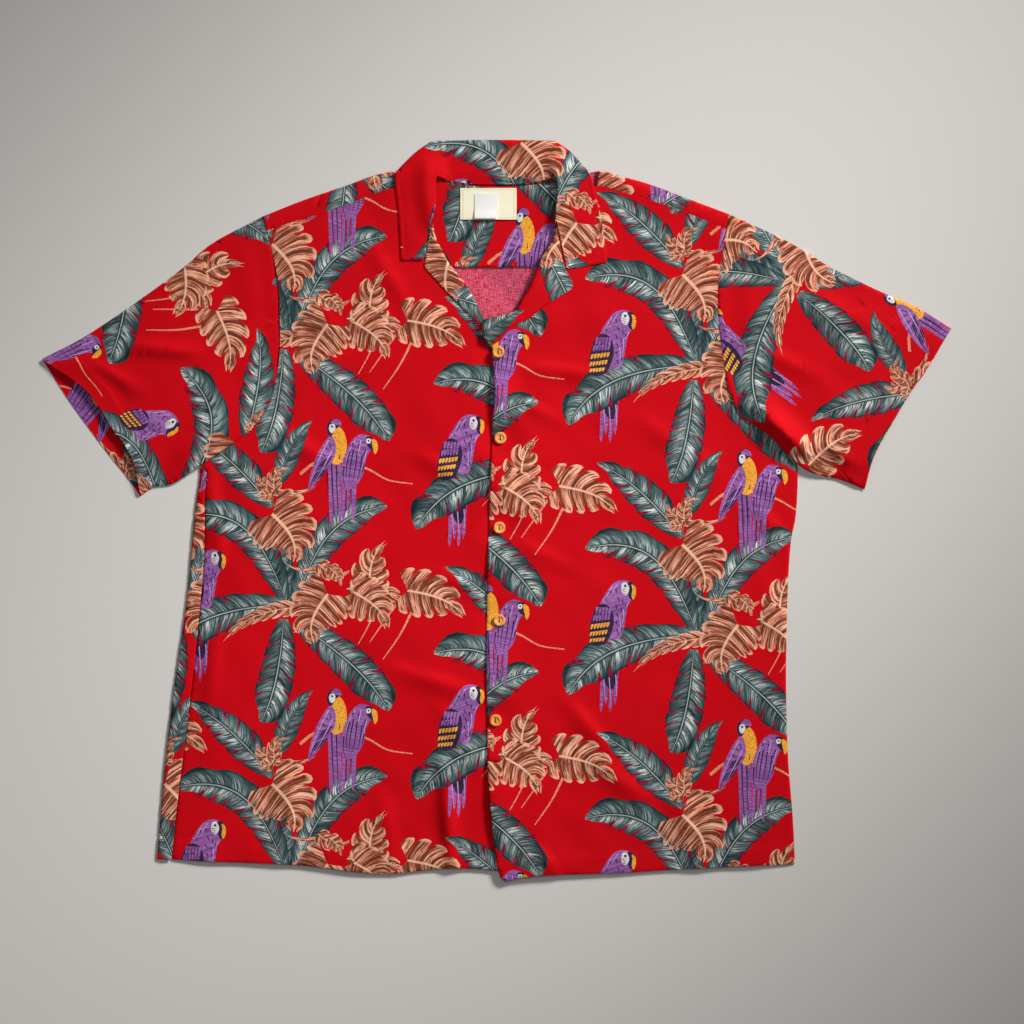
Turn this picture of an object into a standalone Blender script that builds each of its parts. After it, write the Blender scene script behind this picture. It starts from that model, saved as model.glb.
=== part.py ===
"""An aloha shirt with a camp collar, buttoned up and laid flat on its back with the front up.

Every constant and table is in millimetres. X runs across, with the wearer's left at +X, Y runs up to
the collar, and Z stands up from the surface that the shirt lies on. "Right" and "left" are the wearer's.
The cloth lies in layers: back, inner yoke, fronts, lapels and collar, each a wall of even thickness.
"""

import math

import bpy
import numpy as np

MM = 0.001
WALL = 1.0  # thickness of the cloth walls
GAP = 0.3  # air between two pieces that meet
LAYER = WALL + GAP
HALF = WALL / 2

YOKE_SEAM_UP = 255.0  # the back yoke seam, which runs straight across
SLEEVE_AIR = 0.8  # air inside a flattened sleeve
SIDE_AIR = 0.8  # air inside the side where the back wraps onto the front
ROLL_HEIGHT = 1.5  # how far the collar's roll stands up over the fronts
NOSE_STEPS = 4  # facets round a folded edge
STRIP_STEPS = 2  # facets across a strip that is folded over an edge
FLAT_WRAP = 0.02  # share of a strip left where an edge isn't folded over
SEAM_CLEARANCE = 0.6  # between a folded strip's end and the panel that it is sewn to
FLAT_STRIP = 8.0  # where an edge isn't folded over, its wrap is pressed into the wall for this length
ARMHOLE_LIFT = 0.6  # share of a layer that a sleeve's seam climbs where it meets the yoke
LAPEL_ROLL_INSET = 0.8  # a lapel's face stops this far short of its roll
LAPEL_ROUNDING = 0.25
LAPEL_SHOULDER = 0.8  # how far the roll's rounding reaches down from the lapel's face
LAPEL_CLEARANCE = 0.35  # extra air under a lapel, whose facets differ from the front's

BUTTON_RADIUS = 6.3
BUTTON_THICKNESS = 2.6
BUTTON_WELL_RADIUS = 4.0
BUTTON_WELL_DEPTH = 0.7
BUTTON_ROUNDING = 0.7
BUTTON_HOLE_RADIUS = 0.85
BUTTON_HOLE_SPACING = 3.4
BUTTON_SIDES = 24
BUTTON_CLEARANCE = 0.5

UNDERLAP_ACROSS = (32.0, 78.0)  # the left front comes down off the button stand between these
YOKE_STEP_UP = (165.0, 214.0)  # the fronts climb onto the inner yoke between these
NECK_STEP_UP = (286.0, 318.0)  # the yoke climbs onto the collar's back fall between these
NECK_STEP_ACROSS = (110.0, 138.0)
CROSSING = (-10.0, 188.0)  # where the left lapel crosses the right one
CROSSING_REACH = (20.0, 45.0)
CROSSING_LIFT = 1.9  # one lapel with the air round it

CLOTH_RED = (0.55, 0.004, 0.012, 1.0)
LABEL_CREAM = (0.86, 0.80, 0.62, 1.0)
TAB_WHITE = (0.85, 0.85, 0.84, 1.0)
COCONUT = (0.78, 0.42, 0.12, 1.0)

# Edges. Each row: across, up, steps to the next row. Both armholes run from the underarm up to the
# shoulder ridge; the back, the front, the yoke and the sleeve all end on them.
RIGHT_ARMHOLE = [
    (-241, 105, 1),
    (-234, 124, 1),
    (-228, 158, 1),
    (-227, 195, 1),
    (-228, 232, 1),
    (-231.5, YOKE_SEAM_UP, 1),
    (-240.5, 294, 1),
    (-244, 309, 0),
]
LEFT_ARMHOLE = [
    (251, 108, 1),
    (243, 129, 1),
    (237, 163, 1),
    (232.5, 198, 1),
    (232, 232, 1),
    (234, YOKE_SEAM_UP, 1),
    (240, 295, 1),
    (243.5, 311, 0),
]
ARMHOLE_TO_YOKE = 6  # rows of an armhole table up to the back yoke seam
ARMHOLE_TO_SHOULDER = 7  # rows up to the front shoulder seam
UNDER_RIGHT_SLEEVE = [(-309, 55, 1), (-298, 67, 1), (-284, 76, 1), (-268, 84, 1), (-253, 94, 1)]
UNDER_LEFT_SLEEVE = [(312, 55, 1), (298, 69, 1), (281, 82, 1), (265, 93, 1)]

BACK_HEM = [(-356, -366, 6), (0, -372, 6), (313, -371, 0)]
BACK_RIGHT_EDGE = [
    (-356, -366, 2),
    (-349, -278, 2),
    (-339, -192, 2),
    (-325, -94, 2),
    (-317, -8, 1),
    (-311, 36, 1),
    (-311, 46, 1),
    *UNDER_RIGHT_SLEEVE,
    *RIGHT_ARMHOLE[:ARMHOLE_TO_YOKE],
]
LEFT_SIDE = [
    (313, -371, 3),
    (311, -325, 2),
    (305, -241, 2),
    (304, -136, 2),
    (308, -41, 1),
    (314, -5, 1),
    (316, 41, 1),
]
BACK_LEFT_EDGE = LEFT_SIDE + UNDER_LEFT_SLEEVE + LEFT_ARMHOLE[:ARMHOLE_TO_YOKE]
BACK_YOKE_SEAM = [(-231.5, YOKE_SEAM_UP, 12), (234, YOKE_SEAM_UP, 0)]

RIGHT_SIDE_SEAM = [
    (-341, -366, 2),
    (-333, -292, 2),
    (-324, -221, 2),
    (-314, -132, 2),
    (-307, -52, 1),
    (-306, 11, 1),
    (-304, 40, 1),
]
FRONT_RIGHT_OUTER = RIGHT_SIDE_SEAM + UNDER_RIGHT_SLEEVE + RIGHT_ARMHOLE[:ARMHOLE_TO_SHOULDER]
FRONT_RIGHT_INNER = [
    (27, -380, 9),
    (27, 140, 1),
    (24, 166, 2),
    (-9, 177, 2),
    (-15.5, 199, 2),
    (-34.5, 236, 2),
    (-53.5, 260, 1),
    (-65.5, 284, 1),
    (-69, 300, 1),
    (-67, 315, 1),
    (-67, 336, 0),
]
FRONT_RIGHT_HEM = [
    (-341, -366, 3),
    (-280, -369, 3),
    (-206, -372, 2),
    (-122, -381, 3),
    (-46, -375, 3),
    (27, -380, 0),
]
RIGHT_SHOULDER_SEAM = [
    (-240.5, 294, 4),
    (-192, 309, 3),
    (-155, 321, 2),
    (-138, 328, 3),
    (-106, 338, 2),
    (-67, 336, 0),
]

FRONT_LEFT_INNER = [
    (10, -389, 1),
    (1, -374, 2),
    (-8, -290, 2),
    (-10, -213, 2),
    (-10, -94, 2),
    (-5, 77, 1),
    (-2, 116, 1),
    (-4, 160, 1),
    (-5, 171, 1),
    (-12, 181, 1),
    (-12, 197, 1),
    (6, 202, 1),
    (21, 207, 1),
    (37, 234, 1),
    (51, 266, 1),
    (61, 284, 1),
    (64, 300, 1),
    (65, 315, 1),
    (66, 336, 0),
]
FRONT_LEFT_OUTER = LEFT_SIDE + UNDER_LEFT_SLEEVE + LEFT_ARMHOLE[:ARMHOLE_TO_SHOULDER]
FRONT_LEFT_HEM = [
    (10, -389, 1),
    (24, -385, 2),
    (60, -382, 3),
    (130, -380, 4),
    (214, -375, 4),
    (313, -371, 0),
]
LEFT_SHOULDER_SEAM = [
    (66, 336, 2),
    (106, 340, 3),
    (124, 336, 3),
    (161, 325, 3),
    (192, 315, 3),
    (240, 295, 0),
]

YOKE_LOWER = [(-231.5, YOKE_SEAM_UP, 22), (234, YOKE_SEAM_UP, 0)]
YOKE_RIDGE = [
    (-244, 309, 2),
    (-201, 326, 2),
    (-154, 342, 1),
    (-133, 350, 1),
    (-109, 355, 1),
    (-88, 350, 1),
    (-64, 347, 1),
    (-49, 343, 1),
    (-23, 340.5, 1),
    (0, 340, 1),
    (28, 340.5, 1),
    (49, 343, 1),
    (64, 347, 1),
    (86, 350, 1),
    (107, 356, 1),
    (132, 350, 1),
    (161, 342, 2),
    (214, 322, 2),
    (243.5, 311, 0),
]
FOLDED_RIDGE_ACROSS = 105.0  # nearer the neck than this the yoke ends at the ridge, under the collar
INNER_YOKE_LIFT = LAYER + 0.2  # from the outer yoke's underside to the inner one's
FRONT_YOKE_LIFT = INNER_YOKE_LIFT + 0.1  # how far the fronts climb onto the inner yoke
INNER_YOKE_SHARE = 0.99  # the inner yoke's width, as a share of the outer's
# How far below the ridge or the neck seam the inner yoke ends. Each row: distance across, inset.
INNER_YOKE_INSETS = [(0, 0.5), (64, 0.5), (80, 14), (112, 15), (128, 5), (245, 5)]

# The sleeves: the underarm point past the armhole, cuffs from the top down, and the two long edges.
SLEEVE_RIGHT = {
    "armhole": RIGHT_ARMHOLE,
    "underarm": (-258, 83),
    "seam_gap": GAP,
    "top": [(-244, 309, 2), (-297, 281, 2), (-331, 253, 2), (-383, 215, 2), (-436, 180, 2), (-477, 159, 0)],
    "under": [
        (-258, 83, 2),
        (-278, 69, 2),
        (-311, 47, 2),
        (-340, 28, 2),
        (-359, 25, 2),
        (-374, 15, 0),
    ],
    "cuff": [(-477, 159, 2), (-450, 117, 2), (-424, 81, 2), (-405, 56, 2), (-388, 35, 2), (-374, 15, 0)],
    "upper_cuff": [
        (-477, 159, 2),
        (-430, 126, 2),
        (-402, 85, 2),
        (-393, 74, 2),
        (-380, 49, 2),
        (-374, 15, 0),
    ],
    "overlap_line": ((-241, 106), (-314, 51)),
    "overlap_end": (-316, -352),
}
SLEEVE_LEFT = {
    "armhole": LEFT_ARMHOLE,
    "underarm": (259, 97),
    "seam_gap": -GAP,
    "top": [(243.5, 311, 2), (306, 282, 2), (351, 255, 2), (398, 232, 2), (441, 213, 2), (477, 191, 0)],
    "under": [
        (259, 97, 2),
        (287, 77, 2),
        (315, 49, 2),
        (334, 38, 2),
        (361, 32, 2),
        (386, 22, 0),
    ],
    "cuff": [(477, 191, 2), (452, 148, 2), (437, 127, 2), (418, 96, 2), (397, 58, 2), (386, 22, 0)],
    "upper_cuff": [(477, 191, 2), (451, 149, 2), (436, 128, 2), (417, 97, 2), (396, 59, 2), (386, 22, 0)],
    "overlap_line": ((246, 112), (316, 50)),
    "overlap_end": (318, 354),
}
OVERLAP_FADE = (6.0, 40.0)  # distance over which a sleeve climbs onto the body

# The lapels. Each row: roll across, roll up, outer edge across, outer edge up.
LAPEL_RIGHT = [
    (-66.5, 299, -69, 296),
    (-63, 284, -72, 278),
    (-57, 273, -74.5, 262),
    (-51, 261, -75, 255),
    (-41, 248, -62, 240),
    (-30, 234, -48, 225),
    (-21, 217, -32, 209),
    (-13, 200, -22, 196),
    (-9, 189, -14, 185),
    (-6.5, 179, -9.5, 178),
]
LAPEL_LEFT = [
    (61.5, 296, 63, 294),
    (59, 284, 66.5, 278),
    (49, 268, 72, 254),
    (42, 252, 80, 235),
    (35, 235, 64, 223),
    (27, 222, 49, 213),
    (19, 209, 34, 201),
    (4, 204, 22, 196),
    (-14, 199, 10, 186),
    (-14.5, 189, 4, 179),
    (-14, 181, -3, 174),
]
LAPEL_STEPS = 4

# The collar, from one front end round the back to the other. Each row: neck seam across and up,
# roll across and up, outer edge across and up, and turn: 0 where the fall is folded under the yoke,
# 1 where it lies out on the front.
COLLAR = [
    (-67, 303, -69, 306, -77.5, 262, 1),
    (-66.5, 305, -69.5, 309, -88, 262, 1),
    (-66, 308, -70, 314, -100, 262, 1),
    (-65, 315, -72, 325, -102, 304, 1),
    (-63, 323, -74, 342, -104, 324, 1),
    (-63, 333, -73, 364, -106, 343, 1),
    (-63, 346, -71, 383, -104.5, 354, 1),
    (-63, 349, -70, 386.5, -102.5, 358.5, 0.5),
    (-62, 350, -68.5, 384.5, -99, 354, 0),
    (-58, 349, -64, 387, -78, 335, 0),
    (-48, 346, -52, 388, -54, 329, 0),
    (-28, 343, -28, 388.5, -28, 328, 0),
    (0, 342, 0, 388.5, 0, 328, 0),
    (28, 343, 28, 388.5, 28, 328, 0),
    (48, 346, 48, 388, 54, 329, 0),
    (58, 349, 56, 388, 78, 336, 0),
    (62, 350, 60.5, 385.5, 91, 354, 0),
    (63, 349, 62, 387.5, 94, 358.5, 0.5),
    (63, 346, 63, 384, 96, 354, 1),
    (64, 333, 66, 370, 101, 344, 1),
    (63, 322, 67, 350, 105, 326, 1),
    (62, 312, 66, 328, 111, 298, 1),
    (62, 305, 64, 311, 116, 260, 1),
    (61.5, 302, 63.5, 307, 95, 256.5, 1),
    (61, 300, 63, 304, 74, 253, 1),
]
COLLAR_ROW_STEPS = 2
STAND_STEPS = 2
FALL_STEPS = 4
STAND_HEIGHT = 3.3
ROLL_RADIUS = 1.3

# The largest creases of the fronts and sleeves. Each row: from across, from up, to across, to up,
# height, half width.
CREASES = [
    (-388, 172, -322, 165, 3.0, 10.0),
    (-300, 40, -288, -55, 2.0, 9.0),
    (-109, -164, -17, -192, 2.5, 10.0),
    (-56, -262, -48, -378, 3.0, 11.0),
    (42, -352, 62, -378, 2.0, 8.0),
    (74, -199, 122, -255, 2.0, 12.0),
    (95, -255, 158, -304, 2.0, 12.0),
    (30, 152, 108, 143, 2.0, 8.0),
    (236, 120, 306, 46, 2.0, 9.0),
    (338, 72, 372, 50, 2.0, 8.0),
]

# Flat trims on the inner yoke. Each row: name, left, right, bottom, top, layers under it, colour.
NECK_TRIMS = [
    ("label", -38, 21, 305, 338, 0, LABEL_CREAM),
    ("size_tab", -23, 1, 306, 332, 1, TAB_WHITE),
]
# Each row: across, up.
BUTTONS = [(2, 166), (4, 76), (3, -18), (3, -115), (-1, -220)]


def ease(value, low, high):
    """0 below low, 1 above high, and a soft step between them."""
    share = min(max((value - low) / (high - low), 0.0), 1.0)
    return share * share * (3 - 2 * share)


def creases_at(x, y):
    """How far the creases lift the upper cloth here."""
    total = 0.0
    for x0, y0, x1, y1, height, width in CREASES:
        run = np.array([x1 - x0, y1 - y0], float)
        along = ((x - x0) * run[0] + (y - y0) * run[1]) / (run @ run)
        nearest = min(max(along, 0.0), 1.0)
        off = math.hypot(x - x0 - nearest * run[0], y - y0 - nearest * run[1])
        total += height * math.exp(-((off / width) ** 2)) * math.sin(math.pi * (0.1 + 0.8 * nearest))
    return total


def neck_lift(x, y):
    """1 where the collar's back fall lies underneath, 0 away from it."""
    return ease(y, *NECK_STEP_UP) * (1 - ease(abs(x), *NECK_STEP_ACROSS))


def yoke_under(x, y):
    return LAYER * neck_lift(x, y)


def inner_yoke_under(x, y):
    return yoke_under(x, y) + INNER_YOKE_LIFT


def front_under(x, y):
    """The underside of the fronts: over the back, and over both yokes further up."""
    lift = LAYER + FRONT_YOKE_LIFT * ease(y, *YOKE_STEP_UP) + LAYER * neck_lift(x, y)
    return lift + creases_at(x, y)


def left_front_under(x, y):
    """The left front also climbs onto the button stand, and onto the right lapel where they cross."""
    crossing = math.hypot(x - CROSSING[0], y - CROSSING[1])
    stand = 1 - ease(x, *UNDERLAP_ACROSS)
    return front_under(x, y) + LAYER * stand + CROSSING_LIFT * (1 - ease(crossing, *CROSSING_REACH))


def edge(rows):
    """The points along an edge table, each run divided into its steps."""
    points = []
    for (x0, y0, steps), (x1, y1, _) in zip(rows, rows[1:]):
        for k in range(steps):
            points.append((x0 + (x1 - x0) * k / steps, y0 + (y1 - y0) * k / steps))
    points.append(rows[-1][:2])
    return np.array(points, float)


def resampled(points, count):
    """The same edge as a number of points evenly spread along it."""
    runs = np.linalg.norm(np.diff(points, axis=0), axis=1)
    along = np.concatenate([[0], np.cumsum(runs)])
    wanted = np.linspace(0, along[-1], count)
    return np.stack([np.interp(wanted, along, points[:, i]) for i in (0, 1)], axis=1)


def beside(points, distance):
    """The points of an edge moved sideways, to the right of the way that it runs."""
    run = np.gradient(points, axis=0)
    run /= np.linalg.norm(run, axis=1)[:, None]
    return points + distance * np.stack([run[:, 1], -run[:, 0]], axis=1)


def patch(low, high, left, right):
    """A grid of plan points inside four edges. Low and high run across, left and right run up."""
    u = np.linspace(0, 1, len(low))[None, :, None]
    v = np.linspace(0, 1, len(left))[:, None, None]
    across = (1 - v) * low[None] + v * high[None]
    along = (1 - u) * left[:, None] + u * right[:, None]
    corners = (1 - v) * ((1 - u) * low[0] + u * low[-1]) + v * ((1 - u) * high[0] + u * high[-1])
    return across + along - corners


def raised(plan, underside):
    """The middle surface of a wall whose underside stands at underside(x, y) over the plan."""
    return np.array([[(x, y, underside(x, y) + HALF) for x, y in row] for row in plan])


def fold_over(point, outward, rise, strip, wrap):
    """Section points that turn up round an edge at a point and come back over it as a strip."""
    radius = rise / 2
    centre = np.array(point) + np.array([0, 0, radius]) - radius * outward
    points = []
    for k in range(1, NOSE_STEPS + 1):
        angle = math.pi * wrap * k / NOSE_STEPS
        points.append(centre + radius * (outward * math.sin(angle) - np.array([0, 0, math.cos(angle)])))
    turn = math.pi * wrap
    heading = outward * math.cos(turn) + np.array([0, 0, math.sin(turn)])
    for k in range(1, STRIP_STEPS + 1):
        points.append(points[NOSE_STEPS - 1] + heading * strip * wrap * k / STRIP_STEPS)
    return points


def unit(vector):
    vector = np.asarray(vector, float)
    return vector / np.linalg.norm(vector)


def normals_of(grid, ring):
    """The unit normals of a grid of middle-surface points; ring says that its rows are closed loops."""
    if ring:
        across = np.roll(grid, -1, axis=1) - np.roll(grid, 1, axis=1)
    else:
        across = np.gradient(grid, axis=1)
    along = np.gradient(grid, axis=0)
    normal = np.cross(across, along)
    return normal / np.linalg.norm(normal, axis=2)[..., None]


def wall_mesh(name, grid, thickness=WALL, ring=False):
    """A closed wall round a grid of middle-surface points, half its thickness to each side."""
    normal = normals_of(grid, ring)
    rows, columns = grid.shape[:2]
    points = np.concatenate([(grid + normal * thickness / 2), (grid - normal * thickness / 2)])
    points = points.reshape(-1, 3) * MM
    under = rows * columns
    turns = columns if ring else columns - 1
    faces = []
    for i in range(rows - 1):
        for j in range(turns):
            a, b = i * columns + j, i * columns + (j + 1) % columns
            c, d = b + columns, a + columns
            faces.append((a, b, c, d))
            faces.append((under + d, under + c, under + b, under + a))
    for j in range(turns):
        a, b = j, (j + 1) % columns
        faces.append((a, under + a, under + b, b))
        a, b = a + (rows - 1) * columns, b + (rows - 1) * columns
        faces.append((b, under + b, under + a, a))
    if not ring:
        for i in range(rows - 1):
            a, b = i * columns, (i + 1) * columns
            faces.append((b, under + b, under + a, a))
            a, b = a + columns - 1, b + columns - 1
            faces.append((a, under + a, under + b, b))
    mesh = bpy.data.meshes.new(name)
    mesh.from_pydata([tuple(point) for point in points], [], faces)
    mesh.validate()
    return mesh


def material(name, colour, roughness):
    made = bpy.data.materials.new(name)
    made.use_nodes = True
    shader = made.node_tree.nodes["Principled BSDF"]
    shader.inputs["Base Color"].default_value = colour
    shader.inputs["Roughness"].default_value = roughness
    shader.inputs["Metallic"].default_value = 0.0
    return made


def place(name, mesh, colour=CLOTH_RED, roughness=0.85):
    """An object for this mesh, in its own material, smooth where it bends gently."""
    mesh.materials.append(material(name, colour, roughness))
    mesh.shade_smooth()
    mesh.set_sharp_from_angle(angle=math.radians(40))
    made = bpy.data.objects.new(name, mesh)
    bpy.context.scene.collection.objects.link(made)
    return made


def cloth(name, grid, colour=CLOTH_RED, thickness=WALL, ring=False):
    return place(name, wall_mesh(name, grid, thickness, ring), colour)


def seam_across(rows, up):
    """How far across a seam table's line is at this height."""
    line = np.array([row[:2] for row in rows], float)
    return float(np.interp(up, line[:, 1], line[:, 0]))


def distance_to(seam, point, heading):
    """How far a seam table's line lies from a point, along a heading that runs mostly down."""
    line = np.array([row[:2] for row in seam], float)
    distance = 0.0
    for _ in range(5):
        x = point[0] + heading[0] * distance
        distance = (np.interp(x, line[:, 0], line[:, 1]) - point[1]) / heading[1]
    return float(distance)


def back():
    """The back panel. On the right it turns up round the side and reaches the side seam on the front."""
    edges = [edge(rows) for rows in (BACK_HEM, BACK_YOKE_SEAM, BACK_RIGHT_EDGE, BACK_LEFT_EDGE)]
    plan = patch(*edges)
    plan[-1, :, 1] -= GAP
    outward = np.array([-1.0, 0, 0])
    rows = []
    for line in raised(plan, lambda x, y: 0.0):
        x, y, _ = line[0]
        wrapped = y < RIGHT_SIDE_SEAM[-1][1]
        rise = WALL + SIDE_AIR
        strip = seam_across(RIGHT_SIDE_SEAM, y) - x - rise / 2 - SEAM_CLEARANCE if wrapped else FLAT_STRIP
        start = line[0] - outward * rise / 2
        side = fold_over(line[0], outward, rise, strip, 1.0 if wrapped else FLAT_WRAP)
        rows.append(list(line[:0:-1]) + [start] + side)
    return cloth("back", np.array(rows)[:, ::-1])


def yoke_sections():
    """The yoke's plan, in columns from the back yoke seam up to the ridge or the neck seam."""
    armholes = []
    for rows in (RIGHT_ARMHOLE, LEFT_ARMHOLE):
        lower, middle, upper = (np.array(row[:2], float) for row in rows[ARMHOLE_TO_YOKE - 1 :])
        armholes.append(np.array([lower, (lower + middle) / 2, middle, (middle + upper) / 2, upper]))
    return patch(edge(YOKE_LOWER), edge(YOKE_RIDGE), *armholes)


def yoke():
    """The outer yoke: up the back of the shoulders, over the ridge and down to the front seams."""
    sections = raised(yoke_sections(), yoke_under)
    columns = []
    for line in sections.transpose(1, 0, 2):
        x, y, _ = line[-1]
        outward = unit((line[-1] - line[-2]) * (1, 1, 0))
        folded = abs(x) > FOLDED_RIDGE_ACROSS
        seam = RIGHT_SHOULDER_SEAM if x < 0 else LEFT_SHOULDER_SEAM
        rise = front_under(x, y) - yoke_under(x, y)
        start = line[-1] - outward * rise / 2
        strip = distance_to(seam, line[-1], -outward) - rise / 2 - SEAM_CLEARANCE if folded else FLAT_STRIP
        over = fold_over(line[-1], outward, rise, strip, 1.0 if folded else FLAT_WRAP)
        columns.append(list(line[:-1]) + [start] + over)
    return cloth("yoke", np.array(columns).transpose(1, 0, 2))


def yoke_facing():
    """The inner yoke, which lies on the outer one and stays inside the folded ridge."""
    plan = yoke_sections()
    across, inset = np.array(INNER_YOKE_INSETS, float).T
    share_up = np.linspace(0, 1, plan.shape[0])[:, None]
    plan[..., 1] -= share_up * np.interp(np.abs(plan[-1, :, 0]), across, inset)[None]
    plan[..., 0] *= INNER_YOKE_SHARE
    return cloth("yoke_facing", raised(plan, inner_yoke_under))


def front_right():
    """The under front, from the side seam to the button stand."""
    edges = (FRONT_RIGHT_HEM, RIGHT_SHOULDER_SEAM, FRONT_RIGHT_OUTER, FRONT_RIGHT_INNER)
    return cloth("front_right", raised(patch(*map(edge, edges)), front_under))


def front_left():
    """The upper front, which laps over the button stand."""
    edges = (FRONT_LEFT_HEM, LEFT_SHOULDER_SEAM, FRONT_LEFT_INNER, FRONT_LEFT_OUTER)
    return cloth("front_left", raised(patch(*map(edge, edges)), left_front_under))


def sleeve(name, edges):
    """A one-piece sleeve pressed flat: upper layer, fold, under layer, fold, in a closed ring."""
    seam = np.concatenate([edge(edges["armhole"])[::-1], [edges["underarm"]]])
    seam = beside(seam, edges["seam_gap"])
    cuffs = [resampled(edge(edges[cuff]), len(seam)) for cuff in ("upper_cuff", "cuff")]
    top, under = edge(edges["top"]), edge(edges["under"])
    top[0], under[0] = seam[0], seam[-1]
    upper, lower = (patch(seam, cuff, top, under) for cuff in cuffs)
    start, end = (np.array(point, float) for point in edges["overlap_line"])
    run = unit(end - start)
    side = np.array([-run[1], run[0]])
    if side[1] < 0:
        side = -side
    near, far = edges["overlap_end"]

    def lift(x, y):
        past_line = float((np.array([x, y]) - start) @ side)
        climb = 1 - ease(past_line, *OVERLAP_FADE)
        return climb * (1 - ease(abs(x), abs(near), abs(far))) * (2 * LAYER + creases_at(x, y))

    rows = []
    last = upper.shape[0] - 1
    for i in range(last + 1):
        near_armhole = (1 - i / last) ** 2
        radius = (WALL + SLEEVE_AIR) / 2
        above, below = [], []
        for x, y in upper[i]:
            extra = LAYER * ARMHOLE_LIFT * ease(y, *YOKE_STEP_UP) * near_armhole
            base = lift(x, y) + HALF
            above.append((x, y, base + 2 * radius + extra + creases_at(x, y) * (1 - near_armhole)))
        for x, y in lower[i]:
            below.append((x, y, lift(x, y) + HALF))
        above, below = np.array(above), np.array(below)
        ring = list(above[1:-1])
        ring += fold_between(above[-1], below[-1], above[-2])
        ring += list(below[-2:0:-1])
        ring += fold_between(below[0], above[0], below[1])
        rows.append(ring)
    grid = np.array(rows)
    if name.endswith("right"):
        grid = grid[:, ::-1]
    return cloth(name, grid, ring=True)


def fold_between(first, second, inner):
    """Points round a folded edge, from one layer's edge point to the other's, bulging from inner."""
    middle = (first + second) / 2
    radius = abs(first[2] - second[2]) / 2
    outward = unit((middle - inner)[:2])
    centre = middle - np.append(outward * radius, 0)
    rise = 1 if first[2] > second[2] else -1
    points = []
    for k in range(NOSE_STEPS + 1):
        angle = math.pi * (0.5 - k / NOSE_STEPS) * rise
        points.append(centre + radius * np.array([*(outward * math.cos(angle)), math.sin(angle)]))
    return points


def lapel(name, rows, underside):
    """A facing turned out beside the neck: it lies on the front and drops over the front's rolled edge."""
    grid = []
    for roll_x, roll_y, outer_x, outer_y in rows:
        roll, outer = np.array([roll_x, roll_y], float), np.array([outer_x, outer_y], float)
        inward = unit(outer - roll)
        section = []
        for k in range(LAPEL_STEPS + 1):
            x, y = outer + (roll + inward * LAPEL_ROLL_INSET - outer) * k / LAPEL_STEPS
            section.append((x, y, underside(x, y) + LAYER + HALF + LAPEL_CLEARANCE))
        z = underside(*roll) + LAPEL_CLEARANCE
        shoulder = LAYER + HALF - LAPEL_SHOULDER
        for inset, up in ((LAPEL_ROUNDING, LAYER + HALF - LAPEL_ROUNDING), (0.0, shoulder), (0.0, 0.1)):
            section.append((*(roll + inward * inset), z + up))
        grid.append(section)
    grid = np.array(grid)
    if name.endswith("left"):
        grid = grid[:, ::-1]
    return cloth(name, grid)


def collar_section(row):
    """One section of the collar, from the neck seam up to the roll and down to the outer edge."""
    seam_x, seam_y, roll_x, roll_y, edge_x, edge_y, turn = row
    seam, roll, outer = (np.array(p) for p in ((seam_x, seam_y), (roll_x, roll_y), (edge_x, edge_y)))

    def height(x, y, folded, hump):
        over = front_under(x, y) + LAYER + HALF + ROLL_HEIGHT * hump
        return (1 - turn) * folded + turn * over

    near_seam = roll + unit(seam - roll) * ROLL_RADIUS
    near_edge = roll + unit(outer - roll) * ROLL_RADIUS
    section = []
    for k in range(STAND_STEPS):
        x, y = seam + (near_seam - seam) * k / STAND_STEPS
        section.append((x, y, height(x, y, STAND_HEIGHT, k / STAND_STEPS)))
    middle = STAND_HEIGHT - ROLL_RADIUS
    section.append((*near_seam, height(*near_seam, STAND_HEIGHT, 1)))
    section.append((*roll, height(*roll, middle, 1)))
    section.append((*near_edge, height(*near_edge, middle - ROLL_RADIUS, 1)))
    for k in range(1, FALL_STEPS + 1):
        share = k / FALL_STEPS
        x, y = near_edge + (outer - near_edge) * share
        section.append((x, y, height(x, y, HALF, (1 - share) ** 2)))
    return section


def collar():
    rows = []
    for first, second in zip(COLLAR, COLLAR[1:]):
        for k in range(COLLAR_ROW_STEPS):
            share = k / COLLAR_ROW_STEPS
            rows.append(tuple(a + (b - a) * share for a, b in zip(first, second)))
    rows.append(COLLAR[-1])
    return cloth("collar", np.array([collar_section(row) for row in rows]))


def neck_trim(name, left, right, bottom, top, layers, colour):
    across = np.linspace(left, right, 7)
    up = np.linspace(bottom, top, 6)
    plan = np.array([[(x, y) for x in across] for y in up])
    return cloth(name, raised(plan, lambda x, y: inner_yoke_under(x, y) + LAYER * (1 + layers)), colour)


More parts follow.
